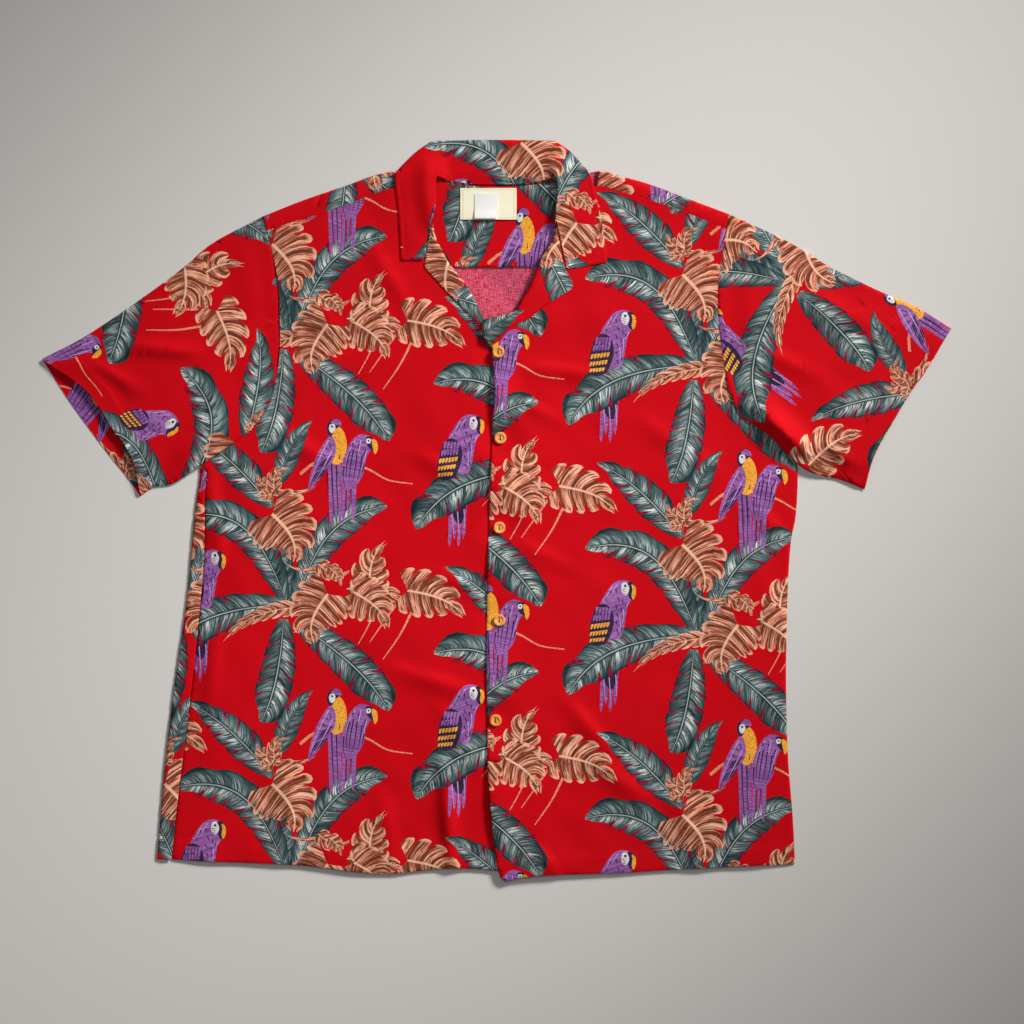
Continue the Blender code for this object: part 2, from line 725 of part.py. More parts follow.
def button_mesh():
    """A turned disc with rounded edges and a shallow well, on the button's own origin."""
    top = BUTTON_THICKNESS / 2
    inner = BUTTON_RADIUS - BUTTON_ROUNDING
    profile = [
        (0.0, top - BUTTON_WELL_DEPTH),
        (BUTTON_WELL_RADIUS - 0.8, top - BUTTON_WELL_DEPTH),
        (BUTTON_WELL_RADIUS, top),
        (inner, top),
        (BUTTON_RADIUS, top - BUTTON_ROUNDING),
        (BUTTON_RADIUS, BUTTON_ROUNDING - top),
        (inner, -top),
        (0.0, -top),
    ]
    points, rings = [], []
    for radius, height in profile:
        if radius == 0.0:
            rings.append([len(points)])
            points.append((0, 0, height * MM))
            continue
        rings.append(list(range(len(points), len(points) + BUTTON_SIDES)))
        for k in range(BUTTON_SIDES):
            angle = 2 * math.pi * k / BUTTON_SIDES
            points.append((radius * math.cos(angle) * MM, radius * math.sin(angle) * MM, height * MM))
    faces = []
    for upper, lower in zip(rings, rings[1:]):
        for k in range(BUTTON_SIDES):
            n = (k + 1) % BUTTON_SIDES
            corners = [upper[k % len(upper)], lower[k % len(lower)]]
            corners += [lower[n % len(lower)], upper[n % len(upper)]]
            faces.append(tuple(dict.fromkeys(corners)))
    mesh = bpy.data.meshes.new("button")
    mesh.from_pydata(points, [], faces)
    return mesh


def hole_cutter_mesh():
    """Two upright pins, one through each thread hole."""
    sides = 10
    points, faces = [], []
    for centre in (-BUTTON_HOLE_SPACING / 2, BUTTON_HOLE_SPACING / 2):
        first = len(points)
        for height in (-BUTTON_THICKNESS, BUTTON_THICKNESS):
            for k in range(sides):
                angle = 2 * math.pi * k / sides
                x = BUTTON_HOLE_RADIUS * math.cos(angle)
                y = centre + BUTTON_HOLE_RADIUS * math.sin(angle)
                points.append((x * MM, y * MM, height * MM))
        for k in range(sides):
            n = (k + 1) % sides
            faces.append((first + k, first + n, first + sides + n, first + sides + k))
        faces.append(tuple(first + k for k in reversed(range(sides))))
        faces.append(tuple(first + sides + k for k in range(sides)))
    mesh = bpy.data.meshes.new("button_holes")
    mesh.from_pydata(points, [], faces)
    return mesh


def buttons():
    """Five two-hole buttons, each clear of the cloth under its whole disc."""
    mesh, cutter_mesh = button_mesh(), hole_cutter_mesh()
    mesh.materials.append(material("button", COCONUT, 0.45))
    for number, (x, y) in enumerate(BUTTONS, start=1):
        made = bpy.data.objects.new(f"button_{number}", mesh)
        bpy.context.scene.collection.objects.link(made)
        around = [(x + BUTTON_RADIUS * i, y + BUTTON_RADIUS * j) for i in (-1, 0, 1) for j in (-1, 0, 1)]
        cloth_top = max(left_front_under(px, py) for px, py in around) + WALL
        height = cloth_top + BUTTON_CLEARANCE + BUTTON_THICKNESS / 2
        if number == 1:
            height += LAYER
        made.location = (x * MM, y * MM, height * MM)
        cutter = bpy.data.objects.new(f"button_{number}_holes", cutter_mesh)
        bpy.context.scene.collection.objects.link(cutter)
        cutter.parent = made
        cutter.hide_render = True
        cutter.display_type = "WIRE"
        cut = made.modifiers.new("thread holes", "BOOLEAN")
        cut.operation = "DIFFERENCE"
        cut.object = cutter


def main():
    for existing in list(bpy.data.objects):
        bpy.data.objects.remove(existing, do_unlink=True)
    back()
    yoke()
    yoke_facing()
    front_right()
    front_left()
    sleeve("sleeve_right", SLEEVE_RIGHT)
    sleeve("sleeve_left", SLEEVE_LEFT)
    lapel("facing_right", LAPEL_RIGHT, front_under)
    lapel("facing_left", LAPEL_LEFT, left_front_under)
    collar()
    for trim in NECK_TRIMS:
        neck_trim(*trim)
    buttons()


main()
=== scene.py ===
import math

import bpy
import numpy as np
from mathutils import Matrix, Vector
from mathutils.geometry import delaunay_2d_cdt


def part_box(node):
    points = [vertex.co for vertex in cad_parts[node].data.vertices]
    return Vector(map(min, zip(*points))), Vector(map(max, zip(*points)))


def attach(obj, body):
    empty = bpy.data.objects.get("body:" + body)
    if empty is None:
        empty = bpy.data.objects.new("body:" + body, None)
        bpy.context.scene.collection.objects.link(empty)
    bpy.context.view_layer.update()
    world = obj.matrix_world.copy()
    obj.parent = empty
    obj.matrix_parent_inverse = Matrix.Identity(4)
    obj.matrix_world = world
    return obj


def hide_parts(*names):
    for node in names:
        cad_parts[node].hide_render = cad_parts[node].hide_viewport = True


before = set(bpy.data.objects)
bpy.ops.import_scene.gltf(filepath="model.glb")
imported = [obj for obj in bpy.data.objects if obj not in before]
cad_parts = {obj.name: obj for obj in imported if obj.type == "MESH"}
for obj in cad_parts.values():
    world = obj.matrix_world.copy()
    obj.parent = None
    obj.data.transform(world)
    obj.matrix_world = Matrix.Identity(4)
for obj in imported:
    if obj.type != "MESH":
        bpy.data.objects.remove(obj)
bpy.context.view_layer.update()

# An aloha shirt with a camp collar, buttoned up and laid flat on its back with the front up.
#
# Lengths are in millimetres until a mesh is made. X runs across, with the wearer's left at +X, Y runs up
# to the collar, and Z stands up from the surface that the shirt lies on. "Right" and "left" are the
# wearer's.

MM = 0.001
ROOT = "root"
CLOTH = 0.55  # thickness of one ply
RESTS = 0.05  # how high the lowest cloth lies over the floor
LAYER = 1.3  # how far one more layer lifts what lies on it
FRONT_TOP = 2.4  # the fronts' face, where they lie on the back
YOKE_CLIMB = 1.6  # how far the fronts climb onto the inner yoke
EDGE_SEAM = 5.0  # how deep the collar's and lapels' edges are stitched
HEM_DEPTH = 22.0
CUFF_DEPTH = 27.0
# Where each button lies, from the top one down: across, up.
BUTTONS = [(2, 166), (4, 76), (3, -18), (3, -115), (-1, -220)]


# ---------------------------------------------------------------- plain geometry

def ease(value, low, high):
    """0 below low, 1 above high, and a soft step between them."""
    share = np.clip((value - low) / (high - low), 0.0, 1.0)
    return share * share * (3 - 2 * share)


def hump(value, middle, width):
    """1 at the middle, dying away to both sides over about this width."""
    return np.exp(-(((value - middle) / width) ** 2))


def unit(vector):
    vector = np.asarray(vector, float)
    return vector / np.linalg.norm(vector)


def smooth(points, step, closed=False):
    """A soft line through these points, as points about one step apart."""
    points = np.asarray(points, float)
    if closed:
        ring = np.concatenate([points[-1:], points, points[:2]])
    else:
        ring = np.concatenate([[2 * points[0] - points[1]], points, [2 * points[-1] - points[-2]]])
    line = []
    for before, start, end, after in zip(ring, ring[1:], ring[2:], ring[3:]):
        count = max(1, int(round(np.linalg.norm((end - start)[:2]) / step)))
        t = (np.arange(count) / count)[:, None]
        reach_in, reach_out = (end - before) / 2, (after - start) / 2
        line.append(
            start * (2 * t**3 - 3 * t**2 + 1)
            + reach_in * (t**3 - 2 * t**2 + t)
            + end * (3 * t**2 - 2 * t**3)
            + reach_out * (t**3 - t**2)
        )
    if not closed:
        line.append(points[-1:])
    return np.concatenate(line)


def nearest(points, line):
    """How far each point is from a line, how far along it that is, and on which side: +1 is its left."""
    start, run = line[:-1], np.diff(line, axis=0)
    length = np.linalg.norm(run, axis=1)
    away, along, side = (np.empty(len(points)) for _ in range(3))
    for first in range(0, len(points), 4000):
        part = slice(first, first + 4000)
        offset = points[part, None] - start[None]
        share = np.clip((offset * run).sum(2) / length**2, 0, 1)
        gap = offset - share[..., None] * run
        distance = np.hypot(gap[..., 0], gap[..., 1])
        best = distance.argmin(1)
        pick = np.arange(len(best)), best
        away[part] = distance[pick]
        along[part] = (np.cumsum(length) - length)[best] + share[pick] * length[best]
        cross = run[best, 0] * offset[pick][:, 1] - run[best, 1] * offset[pick][:, 0]
        side[part] = np.where(cross >= 0, 1.0, -1.0)
    return away, along, side


def inside(points, polygon):
    """True for each point inside a closed polygon."""
    x, y = points[:, 0], points[:, 1]
    found = np.zeros(len(points), bool)
    for (x0, y0), (x1, y1) in zip(polygon, np.roll(polygon, -1, axis=0)):
        crosses = (y0 > y) != (y1 > y)
        with np.errstate(divide="ignore", invalid="ignore"):
            found ^= crosses & (x < (x1 - x0) * (y - y0) / (y1 - y0) + x0)
    return found


def turning(polygon):
    """The signed area of a polygon, positive where it runs anticlockwise."""
    x, y = polygon[:, 0], polygon[:, 1]
    return float((x * np.roll(y, -1) - np.roll(x, -1) * y).sum() / 2)


def run_along(points):
    """How far along a line each of its points is."""
    return np.concatenate([[0], np.cumsum(np.linalg.norm(np.diff(points, axis=0), axis=1))])


def points_along(points, distances):
    """The points at these distances along a line."""
    run = run_along(points)
    return np.stack([np.interp(distances, run, points[:, k]) for k in range(points.shape[1])], 1)


def new_piece(name, points, faces, *materials):
    """A mesh object from points in millimetres."""
    mesh = bpy.data.meshes.new(name)
    mesh.from_pydata((np.asarray(points) * MM).tolist(), [], faces)
    for material in materials:
        mesh.materials.append(material)
    made = bpy.data.objects.new(name, mesh)
    bpy.context.scene.collection.objects.link(made)
    return made


def write_vectors(mesh, name, domain, values):
    """A vector for each point or face corner, which the materials read by this name."""
    mesh.attributes.new(name, "FLOAT_VECTOR", domain).data.foreach_set("vector", np.ravel(values))


# ---------------------------------------------------------------- the print: palms and parrots on red

# A shape of the print is (ink, outline, measure). measure gives, for points near the shape, how far
# along it they are and how far across, which the inks use for veins and brush strokes.

# The breadth of each kind of leaf. The first row is the share along, the second the share of its width.
LEAF_WIDTHS = {
    "blunt": ([0, 0.06, 0.2, 0.45, 0.7, 0.86, 0.95, 1], [0.22, 0.44, 0.72, 0.96, 1.0, 0.8, 0.5, 0.05]),
    "pointed": ([0, 0.12, 0.35, 0.6, 0.82, 0.95, 1], [0.15, 0.62, 1.0, 0.9, 0.52, 0.18, 0.02]),
    "husk": ([0, 0.15, 0.4, 0.65, 0.85, 1], [0.5, 1.0, 0.85, 0.5, 0.25, 0.04]),
}
RIB_POINTS, EDGE_POINTS = 18, 26
TIP_SKEW = 0.42  # how much fuller a leaf's tip is on one side than on the other
VEIN_SLANT = 0.11  # how much further along a side vein ends than it starts, as a share of the leaf
TEAR_AHEAD, TEAR_BEHIND, TEAR_REACH = 0.022, 0.024, 1.07  # a slit's opening, and how far out it is cut


def midrib(base, tip, bend):
    """A line from base to tip that bows more towards its tip. bend is how far it stands off its chord,
    as a share of its length."""
    base, tip = np.array(base, float), np.array(tip, float)
    run = tip - base
    side = np.array([-run[1], run[0]])
    t = np.linspace(0, 1, RIB_POINTS)[:, None]
    return base + run * t + side * bend * (t - t**3) / 0.385  # which is the most that t - t**3 reaches


def along_leaf(rib, half_width, share, across):
    """The point at this share of the leaf's length, and at this share of its half width to one side."""
    place = share * (len(rib) - 1)
    k = max(0, min(int(place), len(rib) - 2))
    run = rib[min(k + 1, len(rib) - 1)] - rib[max(k, 0)]
    side = np.array([-run[1], run[0]]) / np.linalg.norm(run)
    return rib[k] + run * (place - k) + side * across * half_width(share)


def leaf_measure(rib, half_width, scale=1.0, sweep=0.0):
    """Where a point lies on a leaf: along to the side vein it is on, and across, as a share of the width.
    scale stretches the distance along, so that leaves of all sizes can share one spacing of veins.
    sweep is how far along a side vein runs on its way out, near the tip."""
    length = np.linalg.norm(np.diff(rib, axis=0), axis=1).sum()
    behind = rib[0] - (rib[1] - rib[0]) * 6
    stretched = np.concatenate([[behind], rib])
    reach_behind = np.linalg.norm(rib[0] - behind)

    def measure(points):
        away, along, side = nearest(points, stretched)
        along = along - reach_behind
        width = np.maximum(half_width(np.clip(along / length, 0.02, 0.98)), 0.5)
        out = np.clip(away / width, 0, 1.2)
        swept = sweep * out**SWEEP_POWER
        vein = (along - swept * SWEEP_AT_STALK) / (1 + swept * SWEEP_GAIN / length)
        return vein * scale, out * side

    return measure


def leaf(ink, base, tip, bend, width, form="blunt", slits=(), teeth=0.0):
    """A long leaf with torn slits. Each slit: share along, side, how near the midrib it reaches.
    teeth is how uneven the leaf's edge is, as a share of its half width."""
    rib = midrib(base, tip, bend)
    shares, widths = LEAF_WIDTHS[form]

    def half_width(share):
        return width / 2 * np.interp(share, shares, widths)

    outline = []
    for side in (1, -1):
        inner_side = -1 if side * bend > 0 else 1
        edge = []
        for t in np.linspace(0, 1, EDGE_POINTS):
            wave = teeth * (2 * abs(math.sin(t * 17 + side)) - 1)
            skew = TIP_SKEW * inner_side * hump(t, 0.92, 0.07)
            edge.append(along_leaf(rib, half_width, t, side * (1 + wave - skew)))
        outline += edge if side == 1 else edge[::-1]
    measure = leaf_measure(rib, half_width)
    shapes = [(ink, np.array(outline), measure)]
    for at, side, inner in slits:
        start = at - VEIN_SLANT * (1 - inner)
        tear = [
            along_leaf(rib, half_width, min(at + TEAR_AHEAD, 1), side * TEAR_REACH),
            along_leaf(rib, half_width, start, side * inner),
            along_leaf(rib, half_width, at - TEAR_BEHIND, side * TEAR_REACH),
        ]
        shapes.append(("slit", np.array(tear), measure))
    return shapes


LOBE_PITCH = 8.0  # the spacing of side veins that the tan inks draw
LOBE_SWEEP = 1.85  # how far along a side vein sweeps on its way out, in spacings
SWEEP_AT_STALK, SWEEP_GAIN = 0.45, 0.75  # how much of that at the stalk, and how much more at the tip
SWEEP_POWER = 1.5
LOBED_SHARE = 0.74  # how much of the leaf is split, the rest being its tip
GAP_REACH, GAP_UNEVEN = 0.42, 0.32  # how near the midrib the deepest gap comes, and how much less others do
# A heart-shaped leaf's breadth. The first row is the share along, from behind the stalk to the tip.
HEART = (
    [-0.45, -0.28, -0.12, 0.08, 0.3, 0.52, 0.72, 0.86, 0.94, 1],
    [0.3, 0.62, 0.88, 1.0, 1.0, 0.86, 0.6, 0.34, 0.16, 0.02],
)
# The end of a lobe, from one gap to the next. Each: share of its breadth, share of its reach.
LOBE_END = (
    (0.06, 0.7), (0.1, 0.86), (0.17, 0.96), (0.34, 1.03), (0.6, 1.03), (0.8, 0.97), (0.89, 0.86),
    (0.93, 0.7),
)


def split_leaf(stalk, tip, bend, width, lobes, behind=0.15, ink="tan_leaf"):
    """A heart-shaped tan leaf with a long tip, split between its side veins by narrow curved gaps.
    lobes is how many it has on each side, and behind is how far it reaches back past its stalk, as a
    share of its length."""
    rib = midrib(stalk, tip, bend)
    length = np.linalg.norm(np.diff(rib, axis=0), axis=1).sum()
    first = -behind * length
    pitch = (LOBED_SHARE * length - first) / lobes
    sweep = LOBE_SWEEP * pitch

    def half_width(share):
        return width / 2 * np.interp(share, *HEART)

    def place(vein, out, side):
        grown = sweep * (SWEEP_AT_STALK + SWEEP_GAIN * vein / length)
        share = (vein + grown * out**SWEEP_POWER) / length
        edge = half_width(min((vein + grown) / length, 0.97)) / max(half_width(share), 0.2)
        return along_leaf(rib, half_width, share, side * out * edge)

    edges = []
    for side in (1, -1):
        edge = [rib[0]]
        for k in range(lobes):
            low = first + pitch * k
            inner = GAP_REACH + GAP_UNEVEN * ((k * 7 + (side > 0) * 3) % 5) / 4
            if k:
                edge.append(place(low, inner, side))
            for rise, out in LOBE_END:
                edge.append(place(low + rise * pitch, max(out, inner + 0.05), side))
        edge.append(rib[-1])
        edges.append(edge)
    outline = np.array(edges[0] + edges[1][-2:0:-1])
    return [(ink, outline, leaf_measure(rib, half_width, LOBE_PITCH / pitch, sweep))]


def flat_measure(points):
    """The measure of shapes without a midrib."""
    return points[:, 0], points[:, 1]


def patch_of(ink, points, step=2.5):
    """A rounded patch through these points."""
    return ink, smooth(points, step, closed=True), flat_measure


def twig(points, width, ink="twig"):
    """A thin stem that tapers along these points."""
    line = smooth(points, 7.0)
    run = np.gradient(line, axis=0)
    side = np.stack([-run[:, 1], run[:, 0]], 1) / np.linalg.norm(run, axis=1)[:, None]
    half = (width / 2 * np.linspace(1, 0.35, len(line)))[:, None]
    return ink, np.concatenate([line + side * half, (line - side * half)[::-1]]), flat_measure


def tail_feathers(left, right, top, bottom, count, ink, lean=0.0):
    """Long tail feathers side by side, each with a pointed end."""
    shapes = []
    wide = (right - left) / count
    for k in range(count):
        x = left + wide * k
        end = bottom + (k % 2) * (top - bottom) * 0.13
        shift = lean * (top - end)
        points = [
            (x, top),
            (x + wide, top),
            (x + wide * 0.85 + shift, end + 8),
            (x + wide * 0.45 + shift, end),
            (x + wide * 0.12 + shift, end + 6),
        ]
        shapes.append((ink, np.array(points), flat_measure))
    return shapes


def feather_row(start, end, count, length, heading, ink):
    """Short pointed feathers side by side between two points, all lying one way."""
    start, end = np.array(start, float), np.array(end, float)
    wide = (end - start) / count
    down = np.array([math.cos(math.radians(heading)), math.sin(math.radians(heading))]) * length
    shapes = []
    for k in range(count):
        base = start + wide * (k + 0.5)
        shoulders = [base + wide * 0.38 + down * 0.7, base + down, base - wide * 0.38 + down * 0.7]
        points = [base - wide * 0.4, base + wide * 0.4] + shoulders
        shapes.append((ink, np.array(points), flat_measure))
    return shapes


def strokes(ink, width, *lines):
    """Thin tapered strokes, each through its own points."""
    return [twig(points, width, ink) for points in lines]


def moved(shapes, x, y):
    """The shapes shifted to this point."""
    return [(ink, outline + (x, y), measure) for ink, outline, measure in shapes]


def perched_parrot(x, y):
    """A parrot in profile with a banded wing, sitting at this point."""
    shapes = [
        patch_of(
            "lilac",
            [
                (6, -2), (12, 9), (14.5, 22), (17, 34), (23, 42), (24, 51), (19, 58), (10, 60), (2, 57),
                (-6, 47), (-12, 36), (-16, 22), (-14, 4),
            ],
        ),
        patch_of(
            "ink",
            [(-17, 31), (-9, 35), (-1, 30), (2, 18), (-1, 4), (-8, -7), (-21, -8), (-24, 4), (-22, 18)],
        ),
        patch_of("white", [(11, 57), (17, 57), (18, 50), (14.5, 44), (10, 48)]),
        patch_of("ink", [(16, 57.5), (21, 58), (25, 52), (24.5, 43), (20.5, 39), (17, 44), (18.5, 51)]),
        patch_of("gold", [(20.5, 55.5), (24.5, 53), (25, 45), (22.3, 39.5), (20.5, 44), (21.5, 50)]),
        patch_of("ink", [(12.6, 55), (15, 55.2), (15, 52.6), (12.8, 52.4)]),
    ]
    shapes += feather_row((-17, 32), (0, 31), 5, 9, -100, "lilac")
    shapes += feather_row((-19.5, 23), (-1, 24), 6, 7, -104, "lilac")
    shapes += feather_row((-22, 13.5), (-2, 16), 6, 5.6, -104, "gold")
    shapes += feather_row((-23, 5.5), (-4, 8), 6, 5.2, -106, "gold")
    shapes += feather_row((-23, -1.5), (-7, 0), 5, 4.6, -108, "gold")
    shapes += strokes("ink", 0.9, [(11, 49), (15, 47.5)], [(11, 51), (14.5, 50)], [(11.5, 46.5), (15, 45.5)])
    shapes += strokes(
        "ink", 1.5, [(6, 42), (8, 37)], [(11, 39), (12, 34)], [(4, 34), (6, 29)], [(9, 31), (10.5, 26)],
        [(14, 35), (15, 31)], [(5, 25), (7, 20)], [(11, 24), (12, 19)], [(4, 17), (6, 12)],
        [(9, 17), (10, 12)], [(5, 8), (7, 3)], [(10, 10), (10.5, 6)], [(-2, 49), (0, 44)],
        [(-7, 41), (-5, 37)], [(4, 51), (5, 46)],
    )
    shapes += strokes(
        "pale_lilac", 1.2, [(0, 53), (-5, 44), (-9, 37)], [(6, 56), (2, 50), (-2, 42)],
        [(8, 21), (9, 14), (8, 6)], [(12, 29), (12, 20), (10, 12)], [(18, 37), (14, 30)],
    )
    return moved(shapes, x, y)


def parrot_tail(x, y):
    """The tail that hangs below a perched parrot, behind the leaf that it sits on."""
    shapes = tail_feathers(x - 11, x + 8, y, y - 62, 4, "lilac", -0.04)
    shapes.append(
        patch_of(
            "ink", [(x - 9, y), (x + 7, y), (x + 4, y - 30), (x - 1, y - 38), (x - 8, y - 28)], step=4,
        )
    )
    shapes += strokes(
        "pale_lilac", 1.2, [(x - 9, y - 20), (x - 7, y - 48)], [(x - 3, y - 24), (x - 1, y - 52)],
        [(x + 4, y - 22), (x + 5, y - 44)],
    )
    return shapes


def parrot_pair(x, y):
    """Two parrots side by side on a twig, one with a gold breast and one looking away."""
    shapes = [twig([(-40, -2), (-24, 10), (0, 12), (30, 4), (52, -8), (78, -12)], 3.2)]
    shapes += tail_feathers(-11, 3, 12, -56, 3, "lilac", 0.02)
    shapes += tail_feathers(5, 20, 6, -52, 3, "lilac", -0.03)
    shapes += strokes(
        "ink", 1.5, [(-7, 10), (-6, -20), (-4, -46)], [(-2, 8), (-1, -22), (0, -40)],
        [(9, 2), (8, -24), (7, -44)], [(14, 2), (13, -20), (11, -38)],
    )
    shapes += [
        patch_of("gold", [(-7, 46), (-1, 49), (6, 42), (9, 28), (6, 15), (-1, 8), (-8, 12), (-9, 28)]),
        patch_of("ink", [(-12, 48), (-8, 55), (0, 56), (3, 50), (-3, 45), (-7, 38), (-11, 40)]),
        patch_of("lilac", [(-8, 52), (-4, 56), (2, 54), (3, 49), (-3, 50)]),
        patch_of("white", [(-9, 50), (-4, 50.5), (-3, 45), (-6.5, 41), (-9.5, 44)]),
        patch_of("ink", [(-7.5, 49), (-5.6, 49), (-5.6, 47), (-7.5, 47)]),
        patch_of(
            "lilac",
            [(-9, 38), (-3, 30), (-4, 16), (-12, 2), (-24, -12), (-31, -20), (-29, -2), (-21, 20)],
        ),
        patch_of(
            "lilac",
            [
                (19, 38), (27, 40), (35, 36), (37, 28), (33, 22), (29, 14), (26, -2), (18, -14), (8, -18),
                (3, -6), (5, 12), (11, 28),
            ],
        ),
        patch_of("ink", [(29, 37), (36, 37), (40, 31), (38, 23), (34, 24), (30, 29)]),
        patch_of("gold", [(35, 35), (40, 33), (41.5, 25), (38.6, 19), (36.4, 25)]),
        patch_of("white", [(29.5, 35), (34, 35), (33.5, 30.5), (30, 30)]),
        patch_of("ink", [(31, 34), (32.6, 34), (32.6, 32.2), (31, 32.2)]),
    ]
    shapes += feather_row((-17, 12), (-5, 18), 4, 15, -122, "ink")
    shapes += feather_row((-23, 0), (-10, 5), 4, 15, -124, "ink")
    shapes += strokes(
        "ink", 1.3, [(-14, 27), (-10, 22)], [(-9, 30), (-7, 24)], [(-17, 20), (-13, 16)],
        [(1, 14), (2, 20)], [(-27, -8), (-30, -18)],
    )
    shapes += strokes(
        "pale_lilac", 1.3, [(-10, 34), (-18, 18), (-25, 2), (-29, -12)], [(-6, 24), (-14, 8), (-22, -6)],
        [(18, 34), (12, 24), (8, 12)], [(24, 34), (22, 24), (18, 12)], [(30, 24), (27, 12), (24, 2)],
    )
    shapes += strokes(
        "ink", 1.6, [(12, 22), (9, 8), (8, -6)], [(16, 24), (13, 8), (11, -10)],
        [(20, 22), (18, 6), (15, -10)], [(25, 18), (23, 4), (20, -8)], [(29, 24), (26, 16)],
        [(22, 30), (20, 26)], [(16, 31), (14, 27)], [(6, 6), (5, -6), (7, -16)], [(27, 8), (25, -2)],
    )
    shapes += strokes("gold", 1.2, [(4, 42), (6, 34), (6, 26)])
    return moved(shapes, x, y)


def palm_cluster():
    """One repeat of the print, about the heart of its palm. Later shapes lie over earlier ones."""
    shapes = leaf("leaf_dark", (-2, 4), (-12, 92), 0.04, 30, "pointed", [(0.5, 1, 0.3), (0.64, -1, 0.3)])
    shapes += leaf("leaf_dark", (8, 8), (34, 60), 0.1, 24, "pointed", [(0.6, -1, 0.3), (0.78, -1, 0.4)])
    shapes += leaf(
        "leaf", (6, 6), (102, 108), 0.17, 33, "blunt",
        [
            (0.36, -1, 0.25), (0.48, -1, 0.4), (0.6, -1, 0.3), (0.72, -1, 0.35), (0.84, -1, 0.3),
            (0.5, 1, 0.5), (0.66, 1, 0.45), (0.8, 1, 0.4),
        ],
        0.05,
    )
    shapes += leaf(
        "leaf", (-4, 10), (-120, 96), -0.24, 37, "blunt",
        [
            (0.26, 1, 0.45), (0.36, 1, 0.3), (0.47, 1, 0.4), (0.56, 1, 0.25), (0.3, -1, 0.5),
            (0.42, -1, 0.35), (0.7, 1, 0.3), (0.8, 1, 0.4), (0.9, 1, 0.3),
        ],
        0.05,
    )
    shapes += leaf(
        "leaf", (-18, 108), (-108, 186), -0.06, 35, "pointed",
        [
            (0.3, 1, 0.4), (0.42, 1, 0.3), (0.52, 1, 0.45), (0.64, 1, 0.3), (0.4, -1, 0.4),
            (0.56, -1, 0.35), (0.74, 1, 0.4), (0.7, -1, 0.3),
        ],
        0.05,
    )
    shapes += leaf(
        "leaf_dark", (-12, 130), (24, 198), 0.08, 25, "pointed",
        [(0.4, 1, 0.2), (0.52, -1, 0.2), (0.66, 1, 0.4)],
    )
    shapes += leaf(
        "leaf", (-6, -10), (-30, -118), 0.05, 37, "blunt",
        [
            (0.22, 1, 0.4), (0.32, 1, 0.5), (0.44, 1, 0.35), (0.57, 1, 0.3), (0.7, 1, 0.45),
            (0.28, -1, 0.4), (0.4, -1, 0.5), (0.52, -1, 0.3), (0.64, -1, 0.45), (0.78, -1, 0.35),
        ],
        0.05,
    )
    shapes += leaf(
        "leaf", (8, -14), (104, -106), 0.06, 38, "blunt",
        [
            (0.2, -1, 0.4), (0.3, -1, 0.25), (0.42, -1, 0.4), (0.54, -1, 0.35), (0.38, 1, 0.4),
            (0.5, 1, 0.5), (0.62, 1, 0.35), (0.74, 1, 0.45), (0.68, -1, 0.3), (0.82, -1, 0.4),
        ],
        0.05,
    )
    shapes += parrot_tail(-92, -14)
    shapes += leaf(
        "leaf", (-4, 6), (-138, -57), -0.14, 40, "blunt",
        [
            (0.26, 1, 0.45), (0.35, 1, 0.3), (0.45, 1, 0.4), (0.53, 1, 0.25), (0.7, 1, 0.4),
            (0.8, 1, 0.5), (0.42, -1, 0.5), (0.55, -1, 0.4), (0.64, -1, 0.3), (0.84, -1, 0.4),
        ],
        0.05,
    )
    shapes += perched_parrot(-92, 3)
    shapes += parrot_pair(51, -139)
    shapes += split_leaf((22, 4), (-70, -34), -0.12, 17, 7, 0.0)
    shapes += split_leaf((10, 8), (4, -24), 0.3, 13, 4, 0.0)
    shapes += leaf("tan_husk", (40, 44), (-6, 50), 0.12, 6, "husk")
    shapes += split_leaf((30, 48), (62, 40), -0.2, 18, 4, 0.1)
    shapes += split_leaf((42, 44), (54, 26), 0.1, 16, 4, 0.1)
    shapes += leaf("tan_husk", (-22, 124), (28, 130), -0.1, 8, "husk")
    shapes += split_leaf((-14, 128), (-34, 142), 0.2, 20, 4, 0.1)
    shapes += split_leaf((-16, 126), (-2, 148), 0.3, 16, 4, 0.1)
    shapes += split_leaf((-18, 122), (-34, 124), 0.2, 14, 3, 0.1)
    shapes.append(twig([(92, 40), (92, 10), (84, -14), (72, -36)], 2.6))
    shapes.append(twig([(112, 6), (98, -14), (84, -34)], 2.4))
    shapes.append(twig([(128, -2), (116, -26), (98, -52)], 2.6))
    shapes += split_leaf((60, 22), (126, 4), 0.1, 24, 4, 0.05)
    shapes += split_leaf((84, 22), (98, 68), 0.12, 40, 4, 0.2)
    shapes += split_leaf((124, 20), (182, -6), 0.1, 50, 5, 0.24)
    shapes += split_leaf((68, 18), (102, -18), 0.12, 48, 5, 0.26)
    shapes += split_leaf((40, 16), (26, -36), -0.16, 60, 6, 0.24)
    shapes += split_leaf((-18, 100), (4, 50), 0.16, 70, 6, 0.24)
    return [(ink, edge if turning(edge) > 0 else edge[::-1], measure) for ink, edge, measure in shapes]


CLUSTER = palm_cluster()
REPEAT_ACROSS = 271.0
REPEAT_UP = 283.0
# Where the heart of one repeat lies on each piece. Each: across, up, turn in degrees.
PRINTS = {
    "right_front": (-217, -104, 0),
    "left_front": (213, -136, 0),
    "back": (60, -120, 0),
    "side_strip": (-330, -104, 0),
    "yoke": (-150, 300, 0),
    "yoke_strip": (120, 230, 0),
    "yoke_inside": (-20, 400, 0),
    "right_sleeve": (-341, -4, -55),
    "left_sleeve": (312, 238, 55),
    "right_sleeve_under": (-300, 180, -40),
    "left_sleeve_under": (300, 180, 40),
    "collar": (44, 285, 0),
    "right_lapel": (-80, 240, 20),
    "left_lapel": (43, 296, -25),
}


